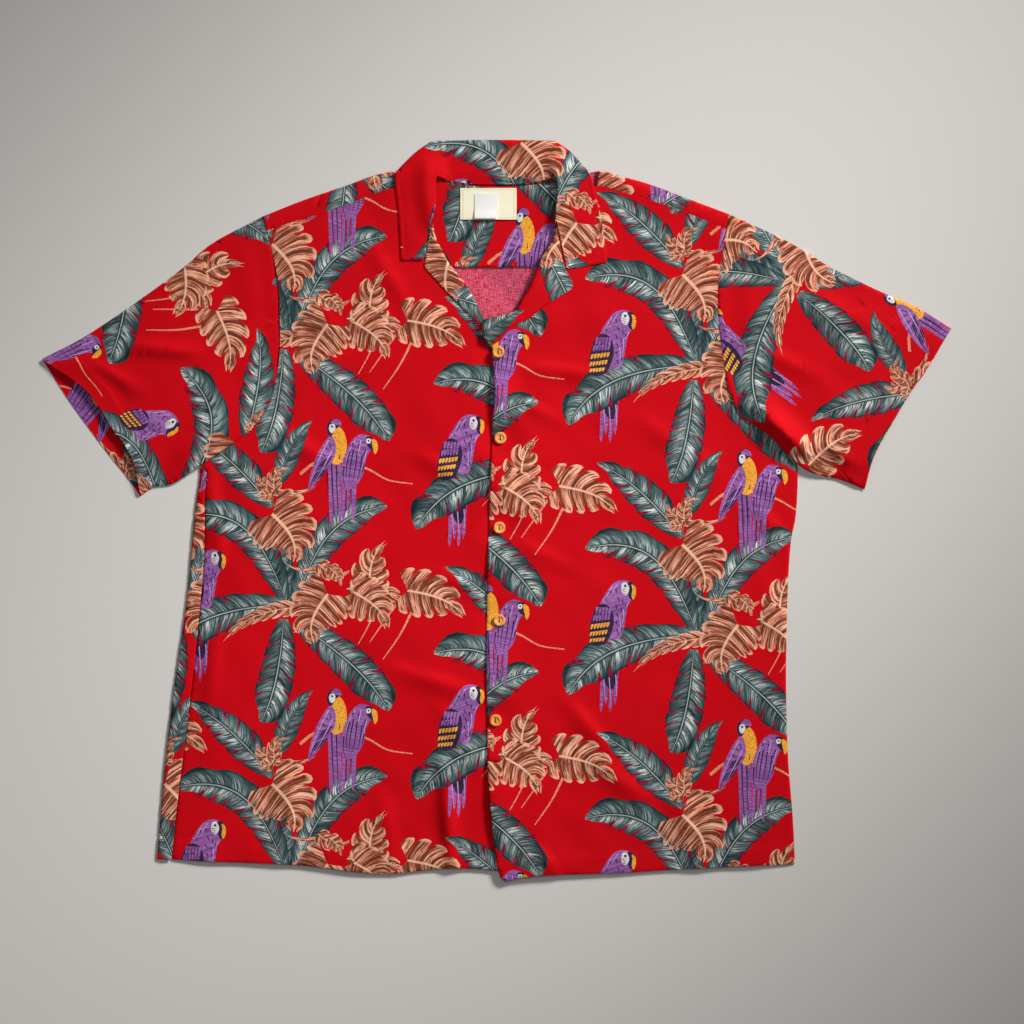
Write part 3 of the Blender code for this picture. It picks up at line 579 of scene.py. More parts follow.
def placed_print(name, polygon, mirrored=False):
    """The print's shapes that reach this polygon, in its own plan, as the cloth was cut for it.
    Each: ink, outline, measure, and a seed that differs from one repeat to the next."""
    across, up, turn = PRINTS[name]
    angle = math.radians(turn)
    spin = np.array([[math.cos(angle), -math.sin(angle)], [math.sin(angle), math.cos(angle)]])
    flip = np.array([-1.0 if mirrored else 1.0, 1.0])
    low, high = polygon.min(0), polygon.max(0)
    reach = 1.5 * np.linalg.norm(high - low) + 300
    columns, rows = int(reach / REPEAT_ACROSS) + 1, int(reach / REPEAT_UP) + 1
    shapes = []
    for i in range(-columns, columns + 1):
        for j in range(-rows, rows + 1):
            shift = np.array([REPEAT_ACROSS * i, REPEAT_UP * (j + 0.5 * (i % 2))])
            for number, (ink, outline, measure) in enumerate(CLUSTER):
                points = ((outline + shift) * flip) @ spin.T + (across, up)
                if (points.max(0) < low).any() or (points.min(0) > high).any():
                    continue
                if not (inside(points, polygon).any() or inside(polygon, points).any()):
                    continue

                def measured(at, measure=measure, shift=shift):
                    own = ((at - (across, up)) @ spin) * flip - shift
                    return measure(own)

                seed = (number * 0.37 + (i * 0.61 + j * 0.43)) % 1.0
                shapes.append((ink, points[::-1] if mirrored else points, measured, seed))
    return shapes


# ---------------------------------------------------------------- cloth shells

# How much of each ink comes through to the wrong side. The others: half.
SHOWS_THROUGH = {"ground": 0.0, "slit": 0.25, "leaf": 1.0, "leaf_dark": 1.0, "ink": 1.0, "lilac": 0.8}


def grid_points(polygons, spacing):
    """Staggered rows of points that fill the polygons."""
    low = np.min([p.min(0) for p in polygons], axis=0)
    high = np.max([p.max(0) for p in polygons], axis=0)
    rows = []
    for k, y in enumerate(np.arange(low[1], high[1], spacing * 0.87)):
        x = np.arange(low[0] + (k % 2) * spacing / 2, high[0], spacing)
        rows.append(np.stack([x, np.full_like(x, y)], 1))
    points = np.concatenate(rows)
    kept = np.zeros(len(points), bool)
    for polygon in polygons:
        kept |= inside(points, polygon)
    return points[kept]


def triangulated(polygons, prints, loose):
    """One plan mesh that every polygon and every shape of the print is cut into.
    Returns the points, and for each layer its triangles and the shape on top of each."""
    coords, faces = [], []

    def add(outline):
        first = len(coords)
        coords.extend(Vector(point) for point in outline)
        faces.append(list(range(first, len(coords))))

    for polygon in polygons:
        add(polygon if turning(polygon) > 0 else polygon[::-1])
    owner = []
    for layer, shapes in enumerate(prints):
        for number, shape in enumerate(shapes):
            add(shape[1])
            owner.append((layer, number))
    coords.extend(Vector(point) for point in loose)
    points, _, triangles, _, _, origins = delaunay_2d_cdt(coords, [], faces, 1, 1e-5, True)
    points = np.array([tuple(p) for p in points])
    layers = [([], []) for _ in polygons]
    base = len(polygons)
    for triangle, origin in zip(triangles, origins):
        if len(triangle) != 3:
            continue
        top = {}
        for k in origin:
            if k >= base:
                layer, number = owner[k - base]
                top[layer] = max(top.get(layer, -1), number)
        for k in origin:
            if k < base:
                layers[k][0].append(triangle)
                layers[k][1].append(top.get(k, -1))
    return points, [(np.array(t), np.array(n)) for t, n in layers]


def layer_marks(shapes, points, triangles, tops):
    """For each triangle its ink, and for each of its corners: along, across and seed."""
    marks = np.zeros((len(triangles), 3, 3))
    inks = np.zeros(len(triangles), int)
    for top in np.unique(tops[tops >= 0]):
        ink, _, measure, seed = shapes[top]
        chosen = tops == top
        corners = triangles[chosen]
        at, back = np.unique(corners, return_inverse=True)
        along, across = measure(points[at])
        measured = np.stack([along, across, np.full(len(at), seed)], 1)
        marks[chosen] = measured[back.reshape(corners.shape)]
        inks[chosen] = INKS.index(ink)
    return inks, marks


def point_normals(vertices, faces):
    """The way the cloth faces at each point, as the mean of the faces round it by their area."""
    corners = vertices[faces]
    face_normal = np.cross(corners[:, 1] - corners[:, 0], corners[:, 2] - corners[:, 0])
    normal = np.zeros_like(vertices)
    for k in range(3):
        np.add.at(normal, faces[:, k], face_normal)
    return normal / np.maximum(np.linalg.norm(normal, axis=1), 1e-9)[:, None]


def rim_faces(outer, shift):
    """Faces that join the free edges of the outer face to the inner one, whose points are shift further."""
    edges = np.concatenate([outer[:, [0, 1]], outer[:, [1, 2]], outer[:, [2, 0]]])
    _, first, count = np.unique(np.sort(edges, axis=1), axis=0, return_index=True, return_counts=True)
    a, b = edges[first[count == 1]].T
    return np.concatenate([np.stack([b, a, a + shift], 1), np.stack([b, a + shift, b + shift], 1)])


MEETS = 0.05  # two layers are joined at an edge where they come this close


def shell(name, layers, spacing, loose, thickness=CLOTH, lining="wrong_side"):
    """A closed thin shell of cloth. Each layer is a dict: outline, print (a list of shapes), surface,
    which gives 3-D points for plan points, and up, False where the cloth's face looks down. turned, if
    given, says where the inside shows the printed side too. Layers that share an edge and meet there are
    one cloth, folded."""
    polygons = [layer["outline"] for layer in layers]
    loose = np.concatenate([grid_points(polygons, spacing), *loose])
    points, cut = triangulated(polygons, [layer["print"] for layer in layers], loose)
    vertices, lays, faces, inks, marks, turned = [], [], [], [], [], []
    known = {}
    for number, (layer, (triangles, tops)) in enumerate(zip(layers, cut)):
        used = np.unique(triangles)
        index = np.full(len(points), -1)
        for k, at in zip(used, layer["surface"](points[used])):
            same = known.get(k)
            if same is not None and np.abs(vertices[same] - at).max() < MEETS:
                index[k] = same
            else:
                index[k] = len(vertices)
                known[k] = len(vertices)
                vertices.append(at)
                lays.append((*points[k], float(number)))
        layer_inks, corner_marks = layer_marks(layer["print"], points, triangles, tops)
        if "turned" in layer:
            turned.append(layer["turned"](points[triangles].mean(1)))
        else:
            turned.append(np.full(len(triangles), lining == "printed"))
        if not layer["up"]:
            triangles, corner_marks = triangles[:, ::-1], corner_marks[:, ::-1]
        faces.append(index[triangles])
        inks.append(layer_inks)
        marks.append(corner_marks)
    vertices, outer = np.array(vertices), np.concatenate(faces)
    inks, marks, turned = np.concatenate(inks), np.concatenate(marks), np.concatenate(turned)
    through = np.array([SHOWS_THROUGH.get(ink, 0.5) for ink in INKS])
    inner_inks = np.where(turned, inks, len(INKS))
    inner_marks = np.where(turned[:, None, None], marks[:, ::-1], 0.0)
    inner_marks[~turned, :, 0] = through[inks][~turned, None]
    shift = len(vertices)
    rims = rim_faces(outer, shift)
    inner_vertices = vertices - point_normals(vertices, outer) * thickness
    made = new_piece(
        name,
        np.concatenate([vertices, inner_vertices]),
        np.concatenate([outer, outer[:, ::-1] + shift, rims]).tolist(),
        *[cloth_materials[ink] for ink in INKS + ["wrong_side"]],
    )
    mesh = made.data
    all_inks = np.concatenate([inks, inner_inks, np.zeros(len(rims), int)])
    mesh.polygons.foreach_set("material_index", all_inks.astype(np.int32))
    write_vectors(mesh, "print", "CORNER", np.concatenate([marks, inner_marks, np.zeros((len(rims), 3, 3))]))
    write_vectors(mesh, "lay", "POINT", np.concatenate([lays, lays]))
    mesh.shade_smooth()
    mesh.set_sharp_from_angle(angle=math.radians(55))
    made["flat_mm2"] = float(sum(abs(turning(polygon)) for polygon in polygons))
    return made


# ---------------------------------------------------------------- materials

def linear(red, green, blue):
    """A colour given from 0 to 255, as the shader wants it."""
    mixed = [((c / 255 + 0.055) / 1.055) ** 2.4 if c > 10 else c / 255 / 12.92 for c in (red, green, blue)]
    return (*mixed, 1.0)


class Wiring:
    """Adds nodes to a tree and joins them up. An input is given by name, or as i and its number."""

    def __init__(self, tree):
        self.tree = tree

    def add(self, kind, settings=None, **inputs):
        node = self.tree.nodes.new(kind)
        for key, value in (settings or {}).items():
            setattr(node, key, value)
        for key, value in inputs.items():
            numbered = key[0] == "i" and key[1:].isdigit()
            self.join(value, node.inputs[int(key[1:]) if numbered else key.replace("_", " ")])
        return node

    def join(self, value, socket):
        if isinstance(value, bpy.types.NodeSocket):
            self.tree.links.new(value, socket)
        else:
            socket.default_value = value

    def maths(self, operation, first, second=0.0, clamp=False):
        settings = {"operation": operation, "use_clamp": clamp}
        return self.add("ShaderNodeMath", settings, i0=first, i1=second).outputs[0]

    def times(self, first, second, clamp=False):
        return self.maths("MULTIPLY", first, second, clamp)

    def mix(self, share, first, second, blend="MIX"):
        node = self.add("ShaderNodeMix", {"data_type": "RGBA", "blend_type": blend})
        self.join(share, node.inputs[0])
        self.join(first, node.inputs[6])
        self.join(second, node.inputs[7])
        return node.outputs[2]

    def step(self, value, low, high, to_low=0.0, to_high=1.0):
        """A soft step from to_low, at low and below, to to_high, at high and above."""
        smooth_step = {"interpolation_type": "SMOOTHSTEP"}
        node = self.add("ShaderNodeMapRange", smooth_step, i0=value, i1=low, i2=high, i3=to_low, i4=to_high)
        return node.outputs[0]

    def noise(self, vector, detail=2.0, rough=0.5):
        node = self.add("ShaderNodeTexNoise", {}, Vector=vector, Scale=1.0, Detail=detail, Roughness=rough)
        return node.outputs[0]

    def combine(self, x, y, z=0.0):
        return self.add("ShaderNodeCombineXYZ", {}, i0=x, i1=y, i2=z).outputs[0]

    def split(self, vector):
        return self.add("ShaderNodeSeparateXYZ", {}, i0=vector).outputs


VECTOR, FLOAT = "NodeSocketVector", "NodeSocketFloat"


def node_group(name, inputs, outputs):
    """A group with these sockets: its tree, its wiring, what it is given and what it puts out."""
    tree = bpy.data.node_groups.new(name, "ShaderNodeTree")
    for way, sockets in (("INPUT", inputs), ("OUTPUT", outputs)):
        for label, kind in sockets.items():
            tree.interface.new_socket(label, in_out=way, socket_type=kind)
    wiring = Wiring(tree)
    return tree, wiring, wiring.add("NodeGroupInput").outputs, wiring.add("NodeGroupOutput").inputs


def weave_group():
    """A plain weave: threads both ways, with slubs where a thread runs thick."""
    tree, w, given, put = node_group(
        "plain weave",
        {"Lay": VECTOR, "Thread": FLOAT, "Slub": FLOAT},
        {"Shade": FLOAT, "Height": FLOAT},
    )
    x, y, z = w.split(given["Lay"])
    turns = w.maths("DIVIDE", math.tau / 2, given["Thread"])
    crossing = w.times(w.maths("SINE", w.times(x, turns)), w.maths("SINE", w.times(y, turns)))
    warp = w.noise(w.combine(w.times(x, 1.9), w.times(y, 0.16), z), 2.0, 0.6)
    weft = w.noise(w.combine(w.times(x, 0.16), w.times(y, 1.9), w.maths("ADD", z, 7.0)), 2.0, 0.6)
    slub = w.maths("SUBTRACT", w.maths("ADD", warp, weft), 1.0)
    shade = w.maths("ADD", w.times(slub, given["Slub"]), w.times(crossing, 0.06))
    w.join(w.maths("ADD", shade, 1.0), put["Shade"])
    w.join(w.maths("ADD", w.times(crossing, 0.5), w.times(slub, 1.2)), put["Height"])
    return tree


def strokes_group():
    """What the paints are mixed by. Strokes leave the midrib at a slant, and Grain is the same, unsharpened.
    Body is the broader light and dark between side veins. Off rib is how far out a point is, Side on
    which side, and Vein how far along."""
    marks = ("Strokes", "Body", "Off rib", "Side", "Vein", "Grain")
    tree, w, given, put = node_group(
        "brush strokes",
        {"Print": VECTOR, "Slant": FLOAT, "Fine": FLOAT, "Broad": FLOAT},
        dict.fromkeys(marks, FLOAT),
    )
    along, across, seed = w.split(given["Print"])
    off = w.maths("ABSOLUTE", across)
    slanted = w.maths("SUBTRACT", along, w.times(w.maths("POWER", off, SWEEP_POWER), given["Slant"]))
    seeded = w.times(seed, 41.0)
    side = w.maths("SIGN", across)
    fine = w.noise(w.combine(w.times(slanted, given["Fine"]), w.times(across, 1.3), seeded), 3.0, 0.62)
    broad = w.noise(w.combine(w.times(slanted, given["Broad"]), side, seeded), 1.0)
    values = (w.step(fine, 0.44, 0.62), w.step(broad, 0.35, 0.65), off, side, slanted, fine)
    for mark, value in zip(marks, values):
        w.join(value, put[mark])
    return tree


WEAVE, STROKES = weave_group(), strokes_group()
THREAD = 0.34  # from one thread of the cloth to the next
RED = linear(204, 0, 16)


def two_tone(under, over, strength=1.0):
    """A paint with strokes of one colour brushed over another."""
    def paint(w, mark):
        return w.mix(w.times(mark["Strokes"], strength), linear(*under), linear(*over))

    return paint


def paint_leaf(w, mark, deep=0.0):
    """Slate green, brushed pale outwards from the midrib, dark at the edge. deep makes it less pale."""
    off = mark["Off rib"]
    sunny = w.step(mark["Side"], -0.5, 0.5, 0.5, 1.0)
    body = w.mix(mark["Body"], linear(38, 62, 66), linear(74, 104, 106))
    body = w.mix(w.times(w.step(mark["Grain"], 0.4, 0.48, 1.0, 0.0), 0.45), body, linear(26, 44, 48))
    reach = w.times(w.step(off, 0.06, 0.2), w.step(off, 0.35, 0.85, 1.0, 0.1))
    pale = w.times(w.times(mark["Strokes"], reach), w.times(sunny, 1.2 - deep), clamp=True)
    pale = w.times(pale, w.step(mark["Body"], 0.1, 0.9, 0.3, 1.0))
    colour = w.mix(pale, body, linear(232, 236, 232))
    colour = w.mix(w.step(off, 0.84, 0.98, 0.0, 0.8), colour, linear(20, 32, 38))
    shadow = w.times(w.step(off, 0.03, 0.14, 1.0, 0.0), 0.8)
    colour = w.mix(shadow, colour, linear(24, 38, 42))
    rib = w.times(w.step(off, 0.01, 0.045, 1.0, 0.0), 0.7 - deep)
    return w.mix(rib, colour, linear(220, 226, 220))


def tan(w, mark, turn):
    """Peach with brown folds and brown and pale streaks. turn runs from 0 to 1 across each lobe."""
    light = w.times(w.step(turn, 0.0, 0.22), w.step(turn, 0.6, 1.0, 1.0, 0.0))
    light = w.times(light, w.step(mark["Body"], 0.0, 1.0, 0.45, 1.0))
    colour = w.mix(light, linear(122, 52, 32), linear(244, 152, 120))
    colour = w.mix(w.times(w.step(mark["Grain"], 0.51, 0.58), 0.85), colour, linear(92, 36, 18))
    pale = w.times(w.step(mark["Grain"], 0.42, 0.48, 1.0, 0.0), w.step(light, 0.1, 0.5))
    return w.mix(w.times(pale, 0.9), colour, linear(255, 200, 170))


def paint_tan_leaf(w, mark):
    colour = tan(w, mark, w.maths("FRACT", w.maths("DIVIDE", mark["Vein"], LOBE_PITCH)))
    one_side = w.step(mark["Side"], -0.5, 0.5, 0.45, 0.0)
    shaded = w.times(one_side, w.step(mark["Off rib"], 0.05, 0.6, 1.0, 0.0))
    colour = w.mix(shaded, colour, linear(116, 52, 32))
    colour = w.mix(w.step(mark["Off rib"], 0.84, 0.97, 0.0, 0.75), colour, linear(255, 190, 158))
    return w.mix(w.step(mark["Off rib"], 0.02, 0.07, 0.9, 0.0), colour, linear(255, 200, 166))


def paint_tan_husk(w, mark):
    return tan(w, mark, w.maths("FRACT", w.times(w.maths("ADD", mark["Off rib"], 0.2), 1.4)))


def paint_lilac(w, mark):
    colour = w.mix(mark["Body"], linear(142, 84, 158), linear(176, 118, 186))
    return w.mix(w.times(mark["Strokes"], 0.6), colour, linear(84, 48, 104))


PAINTS = {
    "ground": lambda w, mark: RED,
    "leaf": paint_leaf,
    "leaf_dark": lambda w, mark: paint_leaf(w, mark, deep=0.4),
    "slit": two_tone((120, 12, 40), (176, 16, 52)),
    "tan_husk": paint_tan_husk,
    "tan_leaf": paint_tan_leaf,
    "twig": two_tone((246, 160, 126), (196, 104, 80)),
    "lilac": paint_lilac,
    "pale_lilac": two_tone((208, 164, 212), (180, 128, 190)),
    "ink": two_tone((38, 30, 52), (92, 60, 112), 0.5),
    "gold": two_tone((252, 184, 66), (218, 128, 36)),
    "white": two_tone((238, 232, 228), (120, 110, 130), 0.4),
}
INKS = list(PAINTS)
# How each ink is brushed. Each: slant, fine strokes and broad strokes per millimetre.
BRUSHES = {
    "leaf": (13.0, 0.95, 0.09),
    "leaf_dark": (11.0, 0.9, 0.12),
    "tan_leaf": (0.0, 1.1, 0.16),
    "tan_husk": (0.0, 0.1, 0.12),
    "lilac": (0.3, 0.35, 0.12),
    "ink": (0.3, 0.5, 0.2),
}
PLAIN_BRUSH = (0.0, 0.4, 0.1)


def cloth_surface(name, colour_of, slub=0.2, roughness=0.72, thread=THREAD, bump=0.25):
    """A woven cloth material. colour_of(wiring, lay, printed) gives its colour."""
    made = bpy.data.materials.new(name)
    made.use_nodes = True
    w = Wiring(made.node_tree)
    shader = made.node_tree.nodes["Principled BSDF"]
    lay = w.add("ShaderNodeAttribute", {"attribute_name": "lay"}).outputs["Vector"]
    printed = w.add("ShaderNodeAttribute", {"attribute_name": "print"}).outputs["Vector"]
    weave = w.add("ShaderNodeGroup", {"node_tree": WEAVE}, Lay=lay, Thread=thread, Slub=slub).outputs
    colour = colour_of(w, lay, printed)
    shade = w.combine(weave["Shade"], weave["Shade"], weave["Shade"])
    w.join(w.mix(1.0, colour, shade, "MULTIPLY"), shader.inputs["Base Color"])
    w.join(w.step(weave["Shade"], 0.8, 1.2, roughness + 0.08, roughness - 0.08), shader.inputs["Roughness"])
    bumped = w.add("ShaderNodeBump", {}, Strength=bump, Distance=0.0002, Height=weave["Height"])
    w.join(bumped.outputs[0], shader.inputs["Normal"])
    shader.inputs["Sheen Weight"].default_value = 0.02
    shader.inputs["Sheen Roughness"].default_value = 0.5
    shader.inputs["Specular IOR Level"].default_value = 0.08
    return made


def printed_colour(ink):
    """The paint of one ink, with its own brush."""
    paint = PAINTS[ink]

    def colour_of(w, lay, printed):
        slant, fine, broad = BRUSHES.get(ink, PLAIN_BRUSH)
        brush = {"Print": printed, "Slant": slant, "Fine": fine, "Broad": broad}
        strokes = w.add("ShaderNodeGroup", {"node_tree": STROKES}, **brush)
        return paint(w, {output.name: output for output in strokes.outputs})

    return colour_of


def wrong_side_colour(w, lay, printed):
    """The back of the cloth: the red comes through pale and uneven between the threads."""
    x, y, z = w.split(lay)
    warp = w.noise(w.combine(w.times(x, 1.3), w.times(y, 0.12), z), 3.0, 0.7)
    weft = w.noise(w.combine(w.times(x, 0.12), w.times(y, 1.3), z), 3.0, 0.7)
    threads = w.step(w.maths("ADD", warp, weft), 0.84, 1.16)
    red = w.mix(threads, linear(178, 12, 44), linear(242, 112, 138))
    shown, _, _ = w.split(printed)
    return w.mix(w.times(shown, 0.28), red, linear(120, 62, 92))


cloth_materials = {}
for ink in INKS:
    cloth_materials[ink] = cloth_surface("printed cloth " + ink.replace("_", " "), printed_colour(ink))
cloth_materials["wrong_side"] = cloth_surface("cloth wrong side", wrong_side_colour, slub=0.25)


# ---------------------------------------------------------------- edges and heights of the shirt

# Each edge is a row of points in plan that a smooth line runs through.
RIGHT_ARMHOLE = [
    (-241, 105), (-234, 124), (-228, 158), (-227, 195), (-228, 232), (-231.5, 255), (-240.5, 294),
    (-244, 309),
]
LEFT_ARMHOLE = [
    (251, 108), (243, 129), (237, 163), (232.5, 198), (232, 232), (234, 255), (240, 295), (243.5, 311),
]
# How many of an armhole's points lie below the yoke, and below the shoulder seam.
TO_YOKE, TO_SHOULDER = 6, 7
UNDER_RIGHT_SLEEVE = [(-309, 55), (-298, 67), (-284, 76), (-268, 84), (-253, 94)]
UNDER_LEFT_SLEEVE = [(312, 55), (298, 69), (281, 82), (265, 93)]
BACK_HEM = [(-356, -366), (0, -372), (313, -371)]
BACK_FOLD = [(-356, -366), (-349, -278), (-339, -192), (-325, -94), (-317, -8), (-311, 36), (-311, 46)]
LEFT_SIDE = [(313, -371), (311, -325), (305, -241), (304, -136), (308, -41), (314, -5), (316, 41)]
RIGHT_SIDE_SEAM = [
    (-341, -366), (-333, -292), (-324, -221), (-314, -132), (-307, -52), (-306, 11), (-304, 40),
]
FRONT_RIGHT_INNER = [
    (27, -380), (27, 140), (24, 166), (-9, 177), (-15.5, 199), (-34.5, 236), (-53.5, 260), (-65.5, 284),
    (-69, 300), (-67, 315), (-67, 336),
]
FRONT_RIGHT_HEM = [(-341, -366), (-280, -369), (-206, -372), (-122, -381), (-46, -375), (27, -380)]
RIGHT_SHOULDER = [(-240.5, 294), (-192, 309), (-155, 321), (-138, 328), (-106, 338), (-67, 336)]
FRONT_LEFT_INNER = [
    (10, -389), (1, -374), (-8, -290), (-10, -213), (-10, -94), (-5, 77), (-2, 116), (-4, 160), (-5, 171),
    (-12, 181), (-12, 197), (6, 202), (21, 207), (37, 234), (51, 266), (61, 284), (64, 300), (65, 315),
    (66, 336),
]
FRONT_LEFT_HEM = [(10, -389), (24, -385), (60, -382), (130, -380), (214, -375), (313, -371)]
LEFT_SHOULDER = [(66, 336), (106, 340), (124, 336), (161, 325), (192, 315), (240, 295)]
YOKE_RIDGE = [
    (-244, 309), (-201, 326), (-154, 342), (-133, 350), (-109, 355), (-88, 350), (-64, 347), (-49, 343),
    (-23, 340.5), (0, 340), (28, 340.5), (49, 343), (64, 347), (86, 350), (107, 356), (132, 350),
    (161, 342), (214, 322), (243.5, 311),
]

YOKE_SEAM = 255.0  # how far up the yoke's lower edge runs across the back

CREASE_DEPTH = 1.25  # how much higher every crease is made than its row says
# Soft creases of the upper cloth, listed one by one. Each row: from across, from up, to across, to up,
# height, width to the left of its run, width to the right.
CREASES = [
    (-388, 172, -318, 166, 3.4, 8, 7),
    (-430, 150, -372, 128, 2.2, 8, 12),
    (-300, 40, -288, -55, 2.6, 7, 12),
    (-292, -120, -302, -210, 2.0, 8, 12),
    (-109, -164, -17, -192, 2.4, 6, 12),
    (-60, -205, -22, -262, 1.8, 6, 10),
    (-56, -262, -46, -378, 4.6, 9, 8),
    (-120, -300, -104, -372, 1.8, 8, 12),
    (-214, -262, -222, -366, 2.0, 9, 13),
    (42, -352, 62, -378, 2.6, 6, 9),
    (74, -199, 122, -255, 2.6, 6, 14),
    (95, -255, 158, -304, 2.6, 7, 13),
    (188, -292, 214, -372, 2.2, 8, 13),
    (30, 152, 108, 143, 2.2, 5, 10),
    (20, 118, 62, 96, 1.6, 5, 9),
    (150, 96, 236, 40, 1.8, 8, 13),
    (266, 112, 322, 62, 4.9, 15, 6),
    (262, 20, 304, -38, 2.2, 7, 11),
    (284, -80, 306, -150, 1.8, 8, 11),
    (338, 72, 372, 50, 2.4, 7, 7),
    (262, 176, 338, 140, 2.2, 8, 11),
    (330, 226, 404, 186, 1.8, 9, 12),
    (-160, 166, -214, 116, 2.4, 7, 12),
    (-206, 214, -160, 188, 1.8, 8, 11),
    (-130, 276, -92, 214, 1.8, 7, 11),
    (-238, 92, -170, 46, 2.2, 7, 12),
    (-84, 60, -30, 34, 1.6, 6, 11),
    (-70, -60, -16, -84, 1.6, 6, 10),
    (18, -30, 84, -62, 1.6, 6, 12),
]


def creases_at(x, y):
    """How much the creases lift the cloth."""
    total = np.zeros_like(x)
    for x0, y0, x1, y1, height, left, right in CREASES:
        run = np.array([x1 - x0, y1 - y0], float)
        share = np.clip(((x - x0) * run[0] + (y - y0) * run[1]) / (run @ run), 0, 1)
        off_x, off_y = x - x0 - share * run[0], y - y0 - share * run[1]
        off = np.hypot(off_x, off_y)
        width = np.where(run[0] * off_y - run[1] * off_x > 0, left, right)
        swell = np.sin(math.pi * (0.12 + 0.76 * share))
        total += CREASE_DEPTH * height * hump(off, 0, width) * swell
    return total


def ripples(x, y):
    """Broad, shallow unevenness that cloth keeps when it is smoothed out by hand."""
    return 1.6 + (
        0.9 * np.sin(x / 61 + 1.3 * np.sin(y / 97 + 0.4)) * np.sin(y / 83 + 0.9)
        + 0.5 * np.sin(x / 34 + y / 51 + 1.1)
        + 0.35 * np.sin(x / 17 - y / 25 + 2.0) * np.sin(y / 37 + x / 90)
        + 0.34 * np.sin(x / 8.5 + y / 14 + 2.5 * np.sin(y / 60)) * np.sin(y / 29 + 1.0) * np.sin(x / 53)
        + 0.26 * np.sin(x / 21 - y / 7.5 + 2.0 * np.sin(x / 44)) * np.sin(x / 33 + 2.0)
    )


def neck_lift(x, y):
    """1 round the neck, where the collar's seam lifts the fronts and the yoke."""
    return ease(y, 286, 318) * (1 - ease(np.abs(x), 110, 138))


def front_top(x, y):
    """The fronts' face, over the back and both yokes."""
    return FRONT_TOP + YOKE_CLIMB * ease(y, 165, 214) + LAYER * neck_lift(x, y) + creases_at(x, y)


def left_front_top(x, y):
    """The left front lies over the right one, and over its lapel where the two cross."""
    crossing = np.hypot(x + 10, y - 188)
    return front_top(x, y) + LAYER * (1 - ease(x, 32, 78)) + 1.9 * (1 - ease(crossing, 20, 45))


def line(*tables, step=6.0):
    """One smooth edge for each table, joined end to end."""
    parts = [smooth(table, step) for table in tables]
    return np.concatenate([part[:-1] for part in parts[:-1]] + [parts[-1]])


def rounded(distance, radius):
    """How far a folded edge has turned, from 0 at the very edge to 1 at its radius."""
    share = np.clip(distance / radius, 0, 1)
    return np.sqrt(1 - (1 - share) ** 2)


def beside(points, distance):
    """The points of an edge moved sideways, to the left of the way that it runs."""
    run = np.gradient(points, axis=0)
    run /= np.linalg.norm(run, axis=1)[:, None]
    return points + distance * np.stack([-run[:, 1], run[:, 0]], axis=1)


def rows_beside(edge, *distances):
    """Rows of loose points along an edge, so that the cloth can bend sharply there."""
    return [beside(edge, distance) for distance in distances]


def rows_both_sides(edge, *distances):
    return rows_beside(edge, *distances) + rows_beside(edge, *[-distance for distance in distances])


def kept_inside(rows, *outlines):
    """The loose points that lie inside at least one of these outlines."""
    return [points[np.any([inside(points, outline) for outline in outlines], axis=0)] for points in rows]


def flat_near_buttons(x, y):
    """0 at each button, which holds the cloth flat, and 1 away from them."""
    free = np.ones_like(x)
    for bx, by in BUTTONS:
        free *= ease(np.hypot(x - bx, y - by), 8.0, 30.0)
    return free


# Where the overlap stands open. Each: middle, half length, height.
PLACKET_GAPS = [(122, 30, 6.2), (28, 30, 2.2), (-66, 32, 2.2), (-168, 36, 2.0), (-310, 56, 5.0)]


def placket_lift(x, y):
    """The overlap stands open along its edge where the two fronts pull apart between buttons."""
    lift = np.zeros_like(x)
    for middle, reach, height in PLACKET_GAPS:
        lift += height * hump(y, middle, reach)
    return lift * (1 - ease(x, -4, 34))


def hem_step(distance, depth, height=0.55):
    """The turned-up hem is thicker than the rest, with a shallow groove where it is stitched."""
    return height * (1 - ease(distance, depth - 1.2, depth + 1.2)) - 0.35 * hump(distance, depth - 1, 1.6)


# ---------------------------------------------------------------- the pieces

LIES = {}  # for each piece, the surface of its face, which gives 3-D points for plan points


def layer_of(outline, print_name, surface, up=True, **more):
    """A layer as shell takes it. Cloth that faces down has its print mirrored in plan."""
    printed = placed_print(print_name, outline, mirrored=not up)
    return {"outline": outline, "print": printed, "surface": surface, "up": up, **more}


def front(name, edges, top, seam_edges, hem, placket, lifted):
    """One front panel. seam_edges roll down to the back at their outer edge; the placket is a fold."""
    outline = np.concatenate([edge[:-1] for edge in edges])

    def surface(points):
        x, y = points.T
        z = top(x, y)
        side = nearest(points, seam_edges)[0]
        z = z + ripples(x, y) * ease(side, 4, 40) * flat_near_buttons(x, y)
        z -= 1.1 * (1 - rounded(side, 3.5))
        hem_distance = nearest(points, hem)[0]
        z += hem_step(hem_distance, HEM_DEPTH) - 0.5 * (1 - rounded(hem_distance, 1.5))
        edge_distance = nearest(points, placket)[0]
        z -= 0.9 * (1 - rounded(edge_distance, 1.6))
        z += lifted(x, y)
        return np.stack([x, y, z], 1)

    LIES[name] = surface

    loose = rows_both_sides(hem, 0.8, 2, HEM_DEPTH - 2.4, HEM_DEPTH - 1, HEM_DEPTH + 1)
    loose += rows_both_sides(seam_edges, 0.6, 1.6, 3.2) + rows_both_sides(placket, 0.4, 1, 1.8)
    return shell(name, [layer_of(outline, name, surface)], spacing=4.5, loose=kept_inside(loose, outline))


def build_right_front():
    hem, inner, seam = line(FRONT_RIGHT_HEM), line(FRONT_RIGHT_INNER), line(RIGHT_SIDE_SEAM)
    outer = line(RIGHT_SIDE_SEAM + UNDER_RIGHT_SLEEVE + RIGHT_ARMHOLE[:TO_SHOULDER])
    edges = [hem, inner, line(RIGHT_SHOULDER)[::-1], outer[::-1]]
    return front("right_front", edges, front_top, seam, hem, inner, lambda x, y: 0.0)


